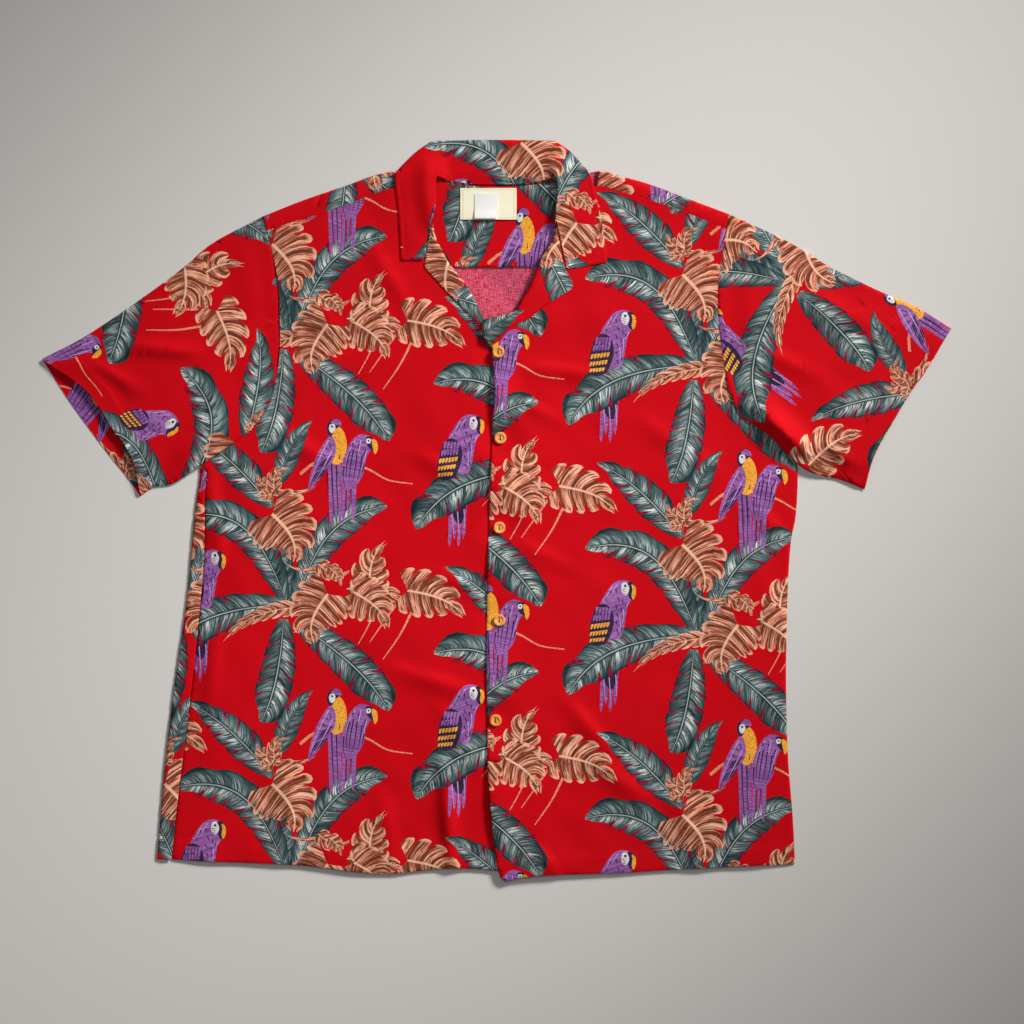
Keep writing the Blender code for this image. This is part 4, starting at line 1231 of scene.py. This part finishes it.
def build_left_front():
    hem, inner, side = line(FRONT_LEFT_HEM), line(FRONT_LEFT_INNER), line(LEFT_SIDE)
    outer = line(LEFT_SIDE + UNDER_LEFT_SLEEVE + LEFT_ARMHOLE[:TO_SHOULDER])
    edges = [hem, outer, line(LEFT_SHOULDER)[::-1], inner[::-1]]
    return front("left_front", edges, left_front_top, side, hem, inner, placket_lift)


def build_back():
    """The back, face down. On the right it turns up round the side, as far as the side seam."""
    fold, seam = line(BACK_FOLD), line(RIGHT_SIDE_SEAM)
    hem, left = line(BACK_HEM), line(LEFT_SIDE + UNDER_LEFT_SLEEVE + LEFT_ARMHOLE[:TO_YOKE])
    right = line(BACK_FOLD + UNDER_RIGHT_SLEEVE + RIGHT_ARMHOLE[:TO_YOKE])
    top = np.array([(x, YOKE_SEAM - 0.3) for x in np.linspace(234, -231.5, 60)])
    outline = np.concatenate([hem[:-1], left[:-1], top[:-1], right[:0:-1]])
    strip = np.concatenate([seam, fold[::-1]])
    side_height = 3.4  # how high the strip lies over the floor

    def under(points):
        x, y = points.T
        turn = rounded(nearest(points, fold)[0], 3.0)
        edge_distance = nearest(points, outline)[0]
        z = RESTS + 0.35 * (1 + np.sin(x / 47 + 0.6) * np.sin(y / 66)) * ease(edge_distance, 10, 60)
        return np.stack([x, y, side_height / 2 * (1 - turn) + z * turn], 1)

    def over(points):
        x, y = points.T
        away = nearest(points, fold)[0]
        z = side_height / 2 + side_height / 2 * rounded(away, 3.0)
        z -= 0.5 * (1 - rounded(nearest(points, seam)[0], 2.5))
        z += 0.7 * np.sin(y / 31 + 0.5) * np.sin(y / 17) * ease(away, 2, 8)
        z += 0.4 * (1 - ease(y - BACK_HEM[0][1], HEM_DEPTH - 1, HEM_DEPTH + 1))
        return np.stack([x, y, z], 1)

    loose = rows_both_sides(fold, 0.5, 1.4, 2.6) + rows_beside(seam, 0.7, 1.8)
    layers = [layer_of(outline, "back", under, up=False), layer_of(strip, "side_strip", over)]
    return shell("back_panel", layers, spacing=7.0, loose=kept_inside(loose, outline, strip))


UNDER_COLLAR = 104  # how far out the collar hides the yoke's upper layer


def build_yoke():
    """The outer yoke: up the back, over the shoulders and down to the front seams."""
    ridge = line(YOKE_RIDGE)
    seams = [line(RIGHT_SHOULDER), line(LEFT_SHOULDER)]
    sides = [np.array(RIGHT_ARMHOLE[TO_YOKE - 1 :], float), np.array(LEFT_ARMHOLE[TO_YOKE - 1 :], float)]
    lower = np.array([(x, YOKE_SEAM) for x in np.linspace(-231.5, 234, 60)])
    outline = np.concatenate([lower[:-1], sides[1][:-1], ridge[:0:-1], sides[0][:0:-1]])
    right_ridge = ridge[ridge[:, 0] <= -UNDER_COLLAR]
    left_ridge = ridge[ridge[:, 0] >= UNDER_COLLAR]
    right_strip = np.concatenate([seams[0][seams[0][:, 0] <= -UNDER_COLLAR], right_ridge[::-1]])
    left_strip = np.concatenate([seams[1][seams[1][:, 0] >= UNDER_COLLAR], left_ridge[::-1]])

    def heights(points):
        x, y = points.T
        low = LAYER * neck_lift(x, y) + RESTS
        high = front_top(x, y) + 0.7 * np.sin(x / 23) * np.sin(x / 41 + 1)
        near = np.where(x < 0, nearest(points, right_ridge)[0], nearest(points, left_ridge)[0])
        return low, high, rounded(near, 3.0)

    def under(points):
        low, high, turn = heights(points)
        return np.column_stack([points, (low + high) / 2 + (low - high) / 2 * turn])

    def over(points):
        low, high, turn = heights(points)
        seam = np.minimum(nearest(points, seams[0])[0], nearest(points, seams[1])[0])
        z = (low + high) / 2 + (high - low) / 2 * turn + 0.5 * rounded(seam, 2.0)
        return np.column_stack([points, z])

    LIES["outer_yoke"] = over
    loose = rows_beside(right_ridge, -0.5, -1.4, -2.6) + rows_beside(left_ridge, -0.5, -1.4, -2.6)
    layers = [layer_of(outline, "yoke", under, up=False)]
    layers += [layer_of(strip, "yoke_strip", over) for strip in (right_strip, left_strip)]
    return shell("outer_yoke", layers, spacing=6.0, loose=kept_inside(loose, outline))


INNER_YOKE = [
    (-208, 255), (212, 255), (212, 300), (112, 336), (82, 335), (64, 346), (49, 342.5), (23, 340),
    (0, 339.5), (-23, 340), (-49, 342.5), (-64, 346), (-82, 335), (-112, 336), (-208, 300),
]


def build_inner_yoke():
    """The yoke's lining inside the neck, with its lower edge turned in over the back."""
    corners = np.array(INNER_YOKE, float)
    sides = [smooth(corners[k : k + 2], 6.0)[:-1] for k in range(len(corners) - 1)]
    outline = np.concatenate([*sides, corners[-1:]])

    def surface(points):
        x, y = points.T
        up = y - YOKE_SEAM
        z = LAYER * neck_lift(x, y) + 2.5 + 0.25 * np.sin(x / 21 + 0.5) * np.sin(y / 26)
        z += hem_step(up, 5.0, 0.3) - 1.2 * (1 - rounded(up, 2.0))
        return np.stack([x, y, z], 1)

    LIES["inner_yoke"] = surface
    across = np.linspace(-207, 211, 120)
    loose = [np.stack([across, np.full(120, YOKE_SEAM + up)], 1) for up in (0.5, 1.2, 2, 3.4, 4.4, 6)]
    return shell("inner_yoke", [layer_of(outline, "yoke_inside", surface)], spacing=5.0, loose=loose)


# Each sleeve's edges: upper_cuff is where the upper layer's cuff ends, a little short of the under one's.
# gap is how far the sleeve keeps from its seam. Past overlap_line the sleeve lies on the surface, and
# overlap_end is how far out it comes down.
SLEEVES = {
    "right": {
        "armhole": RIGHT_ARMHOLE,
        "underarm": (-258, 83),
        "gap": -0.3,
        "top": [(-244, 309), (-297, 281), (-331, 253), (-383, 215), (-436, 180), (-477, 159)],
        "under": [(-258, 83), (-278, 69), (-311, 47), (-340, 28), (-359, 25), (-374, 15)],
        "cuff": [(-477, 159), (-450, 117), (-424, 81), (-405, 56), (-388, 35), (-374, 15)],
        "upper_cuff": [(-477, 159), (-430, 126), (-402, 85), (-393, 74), (-380, 49), (-374, 15)],
        "overlap_line": ((-241, 106), (-314, 51)),
        "overlap_end": (316, 352),
    },
    "left": {
        "armhole": LEFT_ARMHOLE,
        "underarm": (259, 97),
        "gap": 0.3,
        "top": [(243.5, 311), (306, 282), (351, 255), (398, 232), (441, 213), (477, 191)],
        "under": [(259, 97), (287, 77), (315, 49), (334, 38), (361, 32), (386, 22)],
        "cuff": [(477, 191), (452, 148), (437, 127), (418, 96), (397, 58), (386, 22)],
        "upper_cuff": [(477, 191), (451, 149), (436, 128), (417, 97), (396, 59), (386, 22)],
        "overlap_line": ((246, 112), (316, 50)),
        "overlap_end": (318, 354),
    },
}


def sleeve_heights(side, points):
    """How far the sleeve's under layer lies above the surface: it climbs onto the body near the underarm."""
    given = SLEEVES[side]
    x, y = points.T
    start, end = (np.array(p, float) for p in given["overlap_line"])
    run = unit(end - start)
    across = np.array([-run[1], run[0]])
    if across[1] < 0:
        across = -across
    climb = 1 - ease((points - start) @ across, 6.0, 40.0)
    return climb * (1 - ease(np.abs(x), *given["overlap_end"])) * (3.4 + creases_at(x, y))


CUFF_POINTS = 200


def build_sleeve(side):
    """A one-piece sleeve pressed flat, open at its cuff, where the hem is turned in."""
    given = SLEEVES[side]
    armhole = beside(line(given["armhole"][::-1] + [given["underarm"]]), given["gap"])
    top, under, cuff = line(given["top"]), line(given["under"]), line(given["cuff"], step=4.0)
    upper_cuff = line(given["upper_cuff"], step=4.0)
    armhole[0], armhole[-1] = top[0], under[0]
    outline = np.concatenate([armhole[:-1], under[:-1], cuff[:0:-1], top[:0:-1]])
    share = np.linspace(0, 1, CUFF_POINTS)
    even_cuff, even_upper = (points_along(edge, share * run_along(edge)[-1]) for edge in (cuff, upper_cuff))
    set_back = even_upper - even_cuff
    cuff_length = run_along(even_cuff)[-1]

    def heights(points):
        x, y = points.T
        low = sleeve_heights(side, points) + RESTS
        to_armhole = nearest(points, armhole)[0]
        to_cuff, along_cuff, _ = nearest(points, even_cuff)
        folds = np.minimum(nearest(points, top)[0], nearest(points, under)[0])
        high = low + 3.1 + creases_at(x, y) * ease(to_armhole, 0, 25)
        high += (ripples(x + 40, y - 25) * 1.1) * ease(to_armhole, 3, 35) * ease(folds, 2, 30)
        seam = np.maximum(front_top(x, y) + 0.1, low + 2.2)  # the sleeve's height where it is sewn in
        high = seam + (high - seam) * ease(to_armhole, 0, 30) - 0.6 * (1 - rounded(to_armhole, 3.0))
        high += hem_step(to_cuff, CUFF_DEPTH)
        return low, high, rounded(folds, 3.0), to_cuff, along_cuff

    def over(points):
        low, high, turn, to_cuff, along_cuff = heights(points)
        last = CUFF_POINTS - 1
        index = np.clip((along_cuff / cuff_length * last).astype(int), 0, last)
        plan = points + set_back[index] * (1 - ease(to_cuff, 0, 70))[:, None]
        return np.column_stack([plan, (low + high) / 2 + (high - low) / 2 * turn])

    def below(points):
        low, high, turn, _, _ = heights(points)
        return np.column_stack([points, (low + high) / 2 - (high - low) / 2 * turn])

    def turned(centres):
        return nearest(centres, cuff)[0] < CUFF_DEPTH - 1

    LIES[f"{side}_sleeve"] = over

    loose = rows_both_sides(top, 0.5, 1.4, 2.6) + rows_both_sides(under, 0.5, 1.4, 2.6)
    loose += rows_both_sides(armhole, 0.7, 1.8, 3)
    loose += rows_both_sides(cuff, 1, CUFF_DEPTH - 2.4, CUFF_DEPTH - 1, CUFF_DEPTH + 1)
    layers = [
        layer_of(outline, f"{side}_sleeve", over, turned=turned),
        layer_of(outline, f"{side}_sleeve_under", below, up=False, turned=turned),
    ]
    return shell(f"{side}_sleeve", layers, spacing=5.0, loose=kept_inside(loose, outline))


# Rows down each lapel. Each: where it rolls (across, up), and its outer edge (across, up).
LAPELS = {
    "right": [
        (-66.5, 299, -69, 296), (-63, 284, -72, 278), (-57, 273, -74.5, 262), (-51, 261, -75, 255),
        (-41, 248, -62, 240), (-30, 234, -48, 225), (-21, 217, -32, 209), (-13, 200, -22, 196),
        (-9, 189, -14, 185), (-6.5, 179, -9.5, 178),
    ],
    "left": [
        (61.5, 296, 63, 294), (59, 284, 66.5, 278), (49, 268, 72, 254), (42, 252, 80, 235),
        (35, 235, 64, 223), (27, 222, 49, 213), (19, 209, 34, 201), (4, 204, 22, 196),
        (-14, 199, 10, 186), (-14.5, 189, 4, 179), (-14, 181, -3, 174),
    ],
}


def build_lapel(side):
    """The front facing, turned out beside the neck and lying on the front."""
    rows = np.array(LAPELS[side], float)
    roll, outer = smooth(rows[:, :2], 4.0), smooth(rows[:, 2:], 4.0)
    outline = np.concatenate([outer, roll[::-1]])

    def surface(points):
        x, y = points.T
        away = nearest(points, roll)[0]
        out = nearest(points, outer)[0]
        below = LIES[f"{side}_front"](points)[:, 2]
        z = below + 1.3 + 1.8 * hump(away, 0, 9) - 2.6 * (1 - rounded(away, 2.6))
        z -= 0.35 * (1 - rounded(out, 1.2)) + 0.3 * hump(out, EDGE_SEAM, 1.4)
        return np.stack([x, y, z], 1)

    LIES[f"{side}_lapel"] = surface

    loose = rows_both_sides(roll, 0.4, 1.1, 2.2, 4) + rows_both_sides(outer, 0.6, 4, 5, 6)
    layers = [layer_of(outline, f"{side}_lapel", surface)]
    return shell(f"{side}_lapel", layers, spacing=3.5, loose=kept_inside(loose, outline), lining="printed")


NECK_SEAM = [
    (-67, 303), (-66, 308), (-65, 315), (-63, 323), (-63, 333), (-63, 346), (-62, 350), (-58, 349),
    (-48, 346), (-28, 343), (0, 342), (28, 343), (48, 346), (58, 349), (62, 350), (63, 346), (64, 333),
    (63, 322), (62, 312), (62, 305), (61, 300),
]
RIGHT_ROLL = [
    (-69, 306), (-69.5, 309), (-70, 314), (-72, 325), (-74, 342), (-73, 364), (-71, 383), (-70, 386.5),
]
COLLAR_TOP = [
    (-70, 386.5), (-64, 387.5), (-52, 388), (-28, 388.5), (0, 388.7), (28, 388.5), (48, 388), (56, 388),
    (62, 387.5),
]
LEFT_ROLL = [(62, 387.5), (63, 384), (66, 370), (67, 350), (66, 328), (64, 311), (63.5, 307), (63, 304)]
RIGHT_SHOULDER_CREASE = [(-70, 386.5), (-86, 375), (-102.5, 358.5)]
LEFT_SHOULDER_CREASE = [(62, 387.5), (78, 376), (94, 358.5)]
RIGHT_WING_EDGE = [(-102.5, 358.5), (-104.5, 354), (-106, 343), (-104, 324), (-102, 304), (-100, 262)]
RIGHT_WING_END = [(-100, 262), (-88, 262), (-77.5, 262)]
LEFT_WING_EDGE = [(94, 358.5), (96, 354), (101, 344), (105, 326), (111, 298), (116, 260)]
LEFT_WING_END = [(116, 260), (95, 256.5), (74, 253)]
FALL_EDGE = [
    (-102.5, 358.5), (-99, 354), (-78, 335), (-54, 329), (-28, 328), (0, 328), (28, 328), (54, 329),
    (78, 336), (91, 354), (94, 358.5),
]
COLLAR_MIDDLE = 2.3  # height of the fold at the back of the neck
ROLL_HEIGHT = 3.4  # how much higher the collar stands where it rolls over


def build_collar():
    """The camp collar: a band round the neck, wings that lie out on the fronts, and the fall at the back."""
    seam, fold = line(NECK_SEAM, step=4.0), line(COLLAR_TOP, step=4.0)
    rolls = [line(RIGHT_ROLL, step=4.0), line(LEFT_ROLL, step=4.0)]
    creases = [line(RIGHT_SHOULDER_CREASE, step=4.0), line(LEFT_SHOULDER_CREASE, step=4.0)]
    edges = [line(RIGHT_WING_EDGE, step=4.0), line(LEFT_WING_EDGE, step=4.0)]
    ends = [line(RIGHT_WING_END, step=4.0), line(LEFT_WING_END, step=4.0)]
    silhouette = np.concatenate([creases[0][::-1], fold[1:], creases[1][1:]])
    roll = np.concatenate([rolls[0], fold[1:], rolls[1][1:]])
    band = np.concatenate([seam, roll[::-1]])
    right_wing = np.concatenate([rolls[0][:-1], creases[0][:-1], edges[0][:-1], ends[0]])
    left_wing = np.concatenate([rolls[1][::-1][:-1], creases[1][:-1], edges[1][:-1], ends[1]])
    fall = np.concatenate([silhouette[:-1], line(FALL_EDGE, step=5.0)[::-1][:-1]])

    def over(points):
        x, y = points.T
        to_roll = np.minimum(nearest(points, rolls[0])[0], nearest(points, rolls[1])[0])
        wing = front_top(x, y) + np.maximum(ripples(x, y), 0) + 1.6 + ROLL_HEIGHT * hump(to_roll, 0, 10)
        band_top = 4.6 + 0.5 * np.sin(x / 19 + 0.4) - 1.0 * (1 - ease(y, 342, 352))
        at_back = np.maximum(ease(y, 352, 381), 1 - ease(np.abs(x), 48, 62))
        z = wing + (band_top - wing) * at_back
        turn = rounded(nearest(points, silhouette)[0], 5.0)
        z = COLLAR_MIDDLE + (z - COLLAR_MIDDLE) * turn
        out = np.min([nearest(points, edge)[0] for edge in edges + ends], axis=0)
        groove = 0.45 * (1 - rounded(out, 1.3)) + 0.35 * hump(out, EDGE_SEAM, 1.3)
        z -= groove * ease(350 - y, 0, 8)
        return np.stack([x, y, z], 1)

    LIES["collar_cloth"] = over

    def under(points):
        x, y = points.T
        turn = rounded(nearest(points, silhouette)[0], 4.0)
        return np.stack([x, y, COLLAR_MIDDLE + (RESTS - COLLAR_MIDDLE) * turn], 1)

    loose = []
    for edge in [roll, *creases]:
        loose += rows_both_sides(edge, 0.8, 2, 4)
    for edge in edges + ends:
        loose += rows_both_sides(edge, 0.6, 4, 5, 6)
    layers = [layer_of(outline, "collar", over) for outline in (band, right_wing, left_wing)]
    layers.append(layer_of(fall, "collar", under, up=False))
    loose = kept_inside(loose, band, right_wing, left_wing, fall)
    return shell("collar_cloth", layers, spacing=4.0, loose=loose, thickness=0.9, lining="printed")


# A piece that lies on another one is built after it.
right_front = build_right_front()
left_front = build_left_front()
back_panel = build_back()
outer_yoke = build_yoke()
inner_yoke = build_inner_yoke()
right_sleeve, left_sleeve = build_sleeve("right"), build_sleeve("left")
right_lapel, left_lapel = build_lapel("right"), build_lapel("left")
collar_cloth = build_collar()


# ---------------------------------------------------------------- label, buttons and thread

def plain_colour(*colour):
    def colour_of(w, lay, printed):
        return linear(*colour)

    return colour_of


def satin_colour(ground, border):
    """A woven label: a satin face with a narrow line inside its edge. print runs from 0 to 1 each way."""
    def colour_of(w, lay, printed):
        x, y, _ = w.split(printed)
        far = w.maths("MINIMUM", w.maths("SUBTRACT", 1.0, x), w.maths("SUBTRACT", 1.0, y))
        near = w.maths("MINIMUM", w.maths("MINIMUM", x, y), far)
        edge = w.times(w.step(near, 0.03, 0.04), w.step(near, 0.055, 0.065, 1.0, 0.0))
        return w.mix(w.times(edge, 0.5), linear(*ground), linear(*border))

    return colour_of


cream = satin_colour((252, 246, 216), (222, 206, 156))
white = satin_colour((244, 244, 240), (236, 236, 232))
label_satin = cloth_surface("label satin", cream, slub=0.04, roughness=0.5, thread=0.2, bump=0.15)
tab_satin = cloth_surface("tab satin", white, slub=0.03, roughness=0.45, thread=0.16, bump=0.12)
red_thread = cloth_surface("red thread", plain_colour(186, 8, 26), roughness=0.6)
tan_thread = cloth_surface("button thread", plain_colour(120, 62, 30), roughness=0.6)


def small_cloth(name, left, right, low, high, height, satin):
    """A small rectangle of woven label, lying on whatever height gives for each point."""
    count = 15  # points along each side
    across, up = np.meshgrid(np.linspace(left, right, count), np.linspace(low, high, count))
    top = np.stack([across.ravel(), up.ravel(), height(across.ravel(), up.ravel())], 1)
    shift = len(top)
    index = np.arange(shift).reshape(count, count)
    faces = np.stack([index[:-1, :-1], index[:-1, 1:], index[1:, 1:], index[1:, :-1]], -1).reshape(-1, 4)
    ring = np.concatenate([index[0, :-1], index[:-1, -1], index[-1, :0:-1], index[:0:-1, 0]])
    rims = np.stack([ring, ring + shift, np.roll(ring, -1) + shift, np.roll(ring, -1)], 1)
    faces = np.concatenate([faces, faces[:, ::-1] + shift, rims])
    made = new_piece(name, np.concatenate([top, top - (0, 0, 0.35)]), faces.tolist(), satin)
    plan = np.tile(top * (1, 1, 0), (2, 1))
    write_vectors(made.data, "lay", "POINT", plan)
    write_vectors(made.data, "print", "POINT", (plan - (left, low, 0)) / (right - left, high - low, 1))
    made.data.shade_smooth()
    made.data.set_sharp_from_angle(angle=math.radians(50))
    made["flat_mm2"] = float((right - left) * (high - low))
    return made


def label_height(x, y):
    """The label lies on the inner yoke, and its middle stands a little off it."""
    under = LIES["inner_yoke"](np.stack([x, y], 1))[:, 2]
    return under + 0.9 + 0.35 * np.sin((x + 38) / 59 * math.pi) + 0.2 * np.sin(y / 9)


def tab_height(x, y):
    """The tab lies on the label, with its lower end curled up."""
    curl = 1 - ease(y, 306, 322)
    return label_height(x, y) + 0.6 + 1.5 * curl * curl + 0.3 * np.sin((x + 23) / 24 * math.pi)


STITCH_PITCH = 2.9
STITCH_LENGTH = 2.1
STITCH_WIDTH = 0.42
STITCH_HEIGHT = 0.24
# A stitch's points are its near end, two on its right, its far end, two on its left, two on its ridge
# and one below. Its faces are the six above and then the six below.
STITCH_FACES = [(1, 6, 0), (2, 7, 6, 1), (3, 7, 2), (4, 7, 3), (5, 6, 7, 4), (0, 6, 5)]
STITCH_FACES += [(k, (k + 1) % 6, 8) for k in range(6)]
# Each row of stitches: piece, the edge it follows, how deep to the left of the edge's run, how far it
# stops short of the ends.
SEAMS = [
    ("right_front", FRONT_RIGHT_HEM, HEM_DEPTH - 1, 4),
    ("right_front", RIGHT_SHOULDER[:4], -2.2, 4),
    ("left_front", FRONT_LEFT_HEM, HEM_DEPTH - 1, 4),
    ("left_front", LEFT_SHOULDER[2:], -2.2, 4),
    ("right_sleeve", SLEEVES["right"]["cuff"], CUFF_DEPTH - 1, 12),
    ("left_sleeve", SLEEVES["left"]["cuff"], 1 - CUFF_DEPTH, 12),
    ("collar_cloth", RIGHT_WING_EDGE[2:], EDGE_SEAM, 3),
    ("collar_cloth", RIGHT_WING_END, EDGE_SEAM, 3),
    ("collar_cloth", LEFT_WING_EDGE[2:], -EDGE_SEAM, 3),
    ("collar_cloth", LEFT_WING_END, -EDGE_SEAM, 3),
]


def stitching(name, rows):
    """Short raised stitches along these 3-D lines."""
    vertices, faces = [], []
    up = np.array([0, 0, STITCH_HEIGHT])
    for row in rows:
        count = int(run_along(row)[-1] / STITCH_PITCH)
        for start in np.arange(count) * STITCH_PITCH + 0.4:
            first, last = points_along(row, (start, start + STITCH_LENGTH))
            run = unit(last - first)
            side = unit(np.cross(run, (0, 0, 1))) * STITCH_WIDTH / 2
            near, far = (first * 3 + last) / 4, (first + last * 3) / 4
            faces += [tuple(k + len(vertices) for k in face) for face in STITCH_FACES]
            vertices += [first, near + side, far + side, last, far - side, near - side]
            vertices += [near + up, far + up, (near + far) / 2 - up]
    made = new_piece(name, vertices, faces, red_thread)
    made.data.shade_smooth()
    return made


def build_stitching():
    """The rows of stitches on each piece that has them, as one object."""
    rows = {}
    for piece, edge, depth, short in SEAMS:
        seam = beside(line(edge, step=5.0), depth)
        length = run_along(seam)[-1]
        seam = points_along(seam, np.linspace(short, length - short, max(4, int(length / 4))))
        rows.setdefault(piece, []).append(LIES[piece](seam) + (0, 0, 0.06))
    return {piece: stitching(piece.replace("_cloth", "") + "_stitching", rows[piece]) for piece in rows}


def coconut_shell():
    """Polished shell of a warm amber brown, with darker fibres and a pale bloom."""
    made = bpy.data.materials.new("coconut shell")
    made.use_nodes = True
    w = Wiring(made.node_tree)
    shader = made.node_tree.nodes["Principled BSDF"]
    x, y, z = w.split(w.add("ShaderNodeTexCoord").outputs["Object"])
    place = w.combine(w.times(x, 900.0), w.times(y, 320.0), w.times(z, 700.0))
    fibres = w.noise(place, 4.0, 0.6)
    bloom = w.noise(w.combine(w.times(x, 160.0), w.times(y, 160.0), 3.0))
    colour = w.mix(w.step(fibres, 0.4, 0.62), linear(246, 166, 64), linear(222, 124, 34))
    colour = w.mix(w.times(w.step(bloom, 0.45, 0.7), 0.4), colour, linear(250, 196, 110))
    w.join(colour, shader.inputs["Base Color"])
    w.join(w.step(fibres, 0.3, 0.7, 0.28, 0.42), shader.inputs["Roughness"])
    shader.inputs["Coat Weight"].default_value = 0.25
    shader.inputs["Coat Roughness"].default_value = 0.18
    shader.inputs["Subsurface Weight"].default_value = 0.05
    return made


THREAD_RADIUS, THREAD_SIDES = 0.24, 8
# One turn of thread, from hole to hole over the button. Each: along, up.
THREAD_RUN = [(-1.7, -0.9), (-1.5, 0.1), (-0.7, 0.3), (0.7, 0.3), (1.5, 0.1), (1.7, -0.9)]


def build_threads():
    """Two turns of thread through each button's holes."""
    vertices, faces = [], []
    angles = [math.tau * k / THREAD_SIDES for k in range(THREAD_SIDES)]
    for number in range(1, len(BUTTONS) + 1):
        low, high = (np.array(v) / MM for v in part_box(f"button_{number}"))
        middle = (low + high) / 2 * (1, 1, 0)
        top = high[2] - 0.75
        for shift in (-0.28, 0.28):
            first = len(vertices)
            for along, up in THREAD_RUN:
                for angle in angles:
                    out = THREAD_RADIUS * math.cos(angle)
                    height = top + up + THREAD_RADIUS * math.sin(angle)
                    vertices.append(middle + (shift + out, along, height))
            last = len(vertices) - THREAD_SIDES
            for row in range(first, last, THREAD_SIDES):
                for k in range(THREAD_SIDES):
                    a, b = row + k, row + (k + 1) % THREAD_SIDES
                    faces.append((a, a + THREAD_SIDES, b + THREAD_SIDES, b))
            faces.append(tuple(range(first, first + THREAD_SIDES)))
            faces.append(tuple(range(last + THREAD_SIDES - 1, last - 1, -1)))
    made = new_piece("button_threads", vertices, faces, tan_thread)
    made.data.shade_smooth()
    return made


shell_material = coconut_shell()
for number in range(1, len(BUTTONS) + 1):
    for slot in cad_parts[f"button_{number}"].material_slots:
        slot.material = shell_material
neck_label = small_cloth("neck_label", -38, 21, 305, 338, label_height, label_satin)
size_tab = small_cloth("size_tab_cloth", -23, 1, 306, 332, tab_height, tab_satin)
sewn = build_stitching()
button_threads = build_threads()


# ---------------------------------------------------------------- floor, camera and lights

def build_stage():
    """A wide plain floor."""
    plain = bpy.data.materials.new("pale floor")
    plain.use_nodes = True
    shader = plain.node_tree.nodes["Principled BSDF"]
    shader.inputs["Base Color"].default_value = (0.7, 0.68, 0.65, 1)
    shader.inputs["Roughness"].default_value = 0.9
    size = 6000
    corners = [(-size, -size, 0), (size, -size, 0), (size, size, 0), (-size, size, 0)]
    new_piece("floor", corners, [(0, 1, 2, 3)], plain)


def soft_light(name, place, aim, size, power, colour, spread=180):
    """A soft box, placed in metres and aimed at a point. A narrow spread keeps its light in a beam."""
    lamp = bpy.data.lights.new(name, "AREA")
    lamp.shape = "RECTANGLE"
    lamp.size, lamp.size_y = size
    lamp.energy = power
    lamp.spread = math.radians(spread)
    lamp.color = colour
    made = bpy.data.objects.new(name, lamp)
    made.location = place
    made.rotation_euler = (Vector(aim) - Vector(place)).to_track_quat("-Z", "Y").to_euler()
    bpy.context.scene.collection.objects.link(made)


def build_camera():
    """Straight above the shirt. In metres: its height, where it stands, and how much it sees across."""
    height, across, up, seen = 2.6, 0.0162, -0.0016, 1.0752
    lens = bpy.data.cameras.new("camera")
    lens.sensor_width = 36.0
    lens.lens = lens.sensor_width * height / seen
    camera = bpy.data.objects.new("camera", lens)
    camera.location = (across, up, height)
    bpy.context.scene.collection.objects.link(camera)
    bpy.context.scene.camera = camera


def build_room():
    """The dim light of the room all round."""
    world = bpy.data.worlds.new("room")
    world.use_nodes = True
    background = world.node_tree.nodes["Background"]
    background.inputs["Color"].default_value = (0.9, 0.92, 1.0, 1)
    background.inputs["Strength"].default_value = 0.09
    bpy.context.scene.world = world


build_stage()
build_camera()
soft_light("key", (2.5, 2.5, 1.9), (-0.13, -0.07, 0), (0.9, 0.9), 7.1, (1.0, 0.98, 0.95), spread=27)
soft_light("overhead", (0.06, 0.0, 1.0), (0.06, 0.0, 0), (0.4, 0.4), 1.5, (1.0, 0.98, 0.96))
soft_light("fill", (-1.6, -0.8, 2.2), (0, 0, 0), (2.0, 2.0), 4, (0.93, 0.96, 1.0))
build_room()
bpy.context.scene.view_settings.view_transform = "Standard"


# ---------------------------------------------------------------- each piece under the root, in place of its part

# Each sheet: the piece, the node it stands for, its finish, and what it is cut from, in metres.
SHEETS = [
    (right_front, "front_right", "printed_cloth", (0.40, 0.76)),
    (left_front, "front_left", "printed_cloth", (0.40, 0.76)),
    (back_panel, "back", "printed_cloth", (0.75, 0.66)),
    (outer_yoke, "yoke", "printed_cloth", (0.50, 0.16)),
    (inner_yoke, "yoke_facing", "printed_cloth", (0.45, 0.1)),
    (right_sleeve, "sleeve_right", "printed_cloth", (0.47, 0.29)),
    (left_sleeve, "sleeve_left", "printed_cloth", (0.47, 0.29)),
    (right_lapel, "facing_right", "printed_cloth", (0.15, 0.03)),
    (left_lapel, "facing_left", "printed_cloth", (0.15, 0.05)),
    (collar_cloth, "collar", "printed_cloth", (0.5, 0.08)),
    (neck_label, "label", "label_cloth", (0.059, 0.033)),
    (size_tab, "size_tab", "tab_cloth", (0.024, 0.026)),
]

for made, node, finish, size in SHEETS:
    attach(made, ROOT)
    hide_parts(node)
    extra = [sewn[made.name]] if made.name in sewn else []
    if made is left_front:
        extra.append(button_threads)
    for piece in extra:
        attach(piece, ROOT)
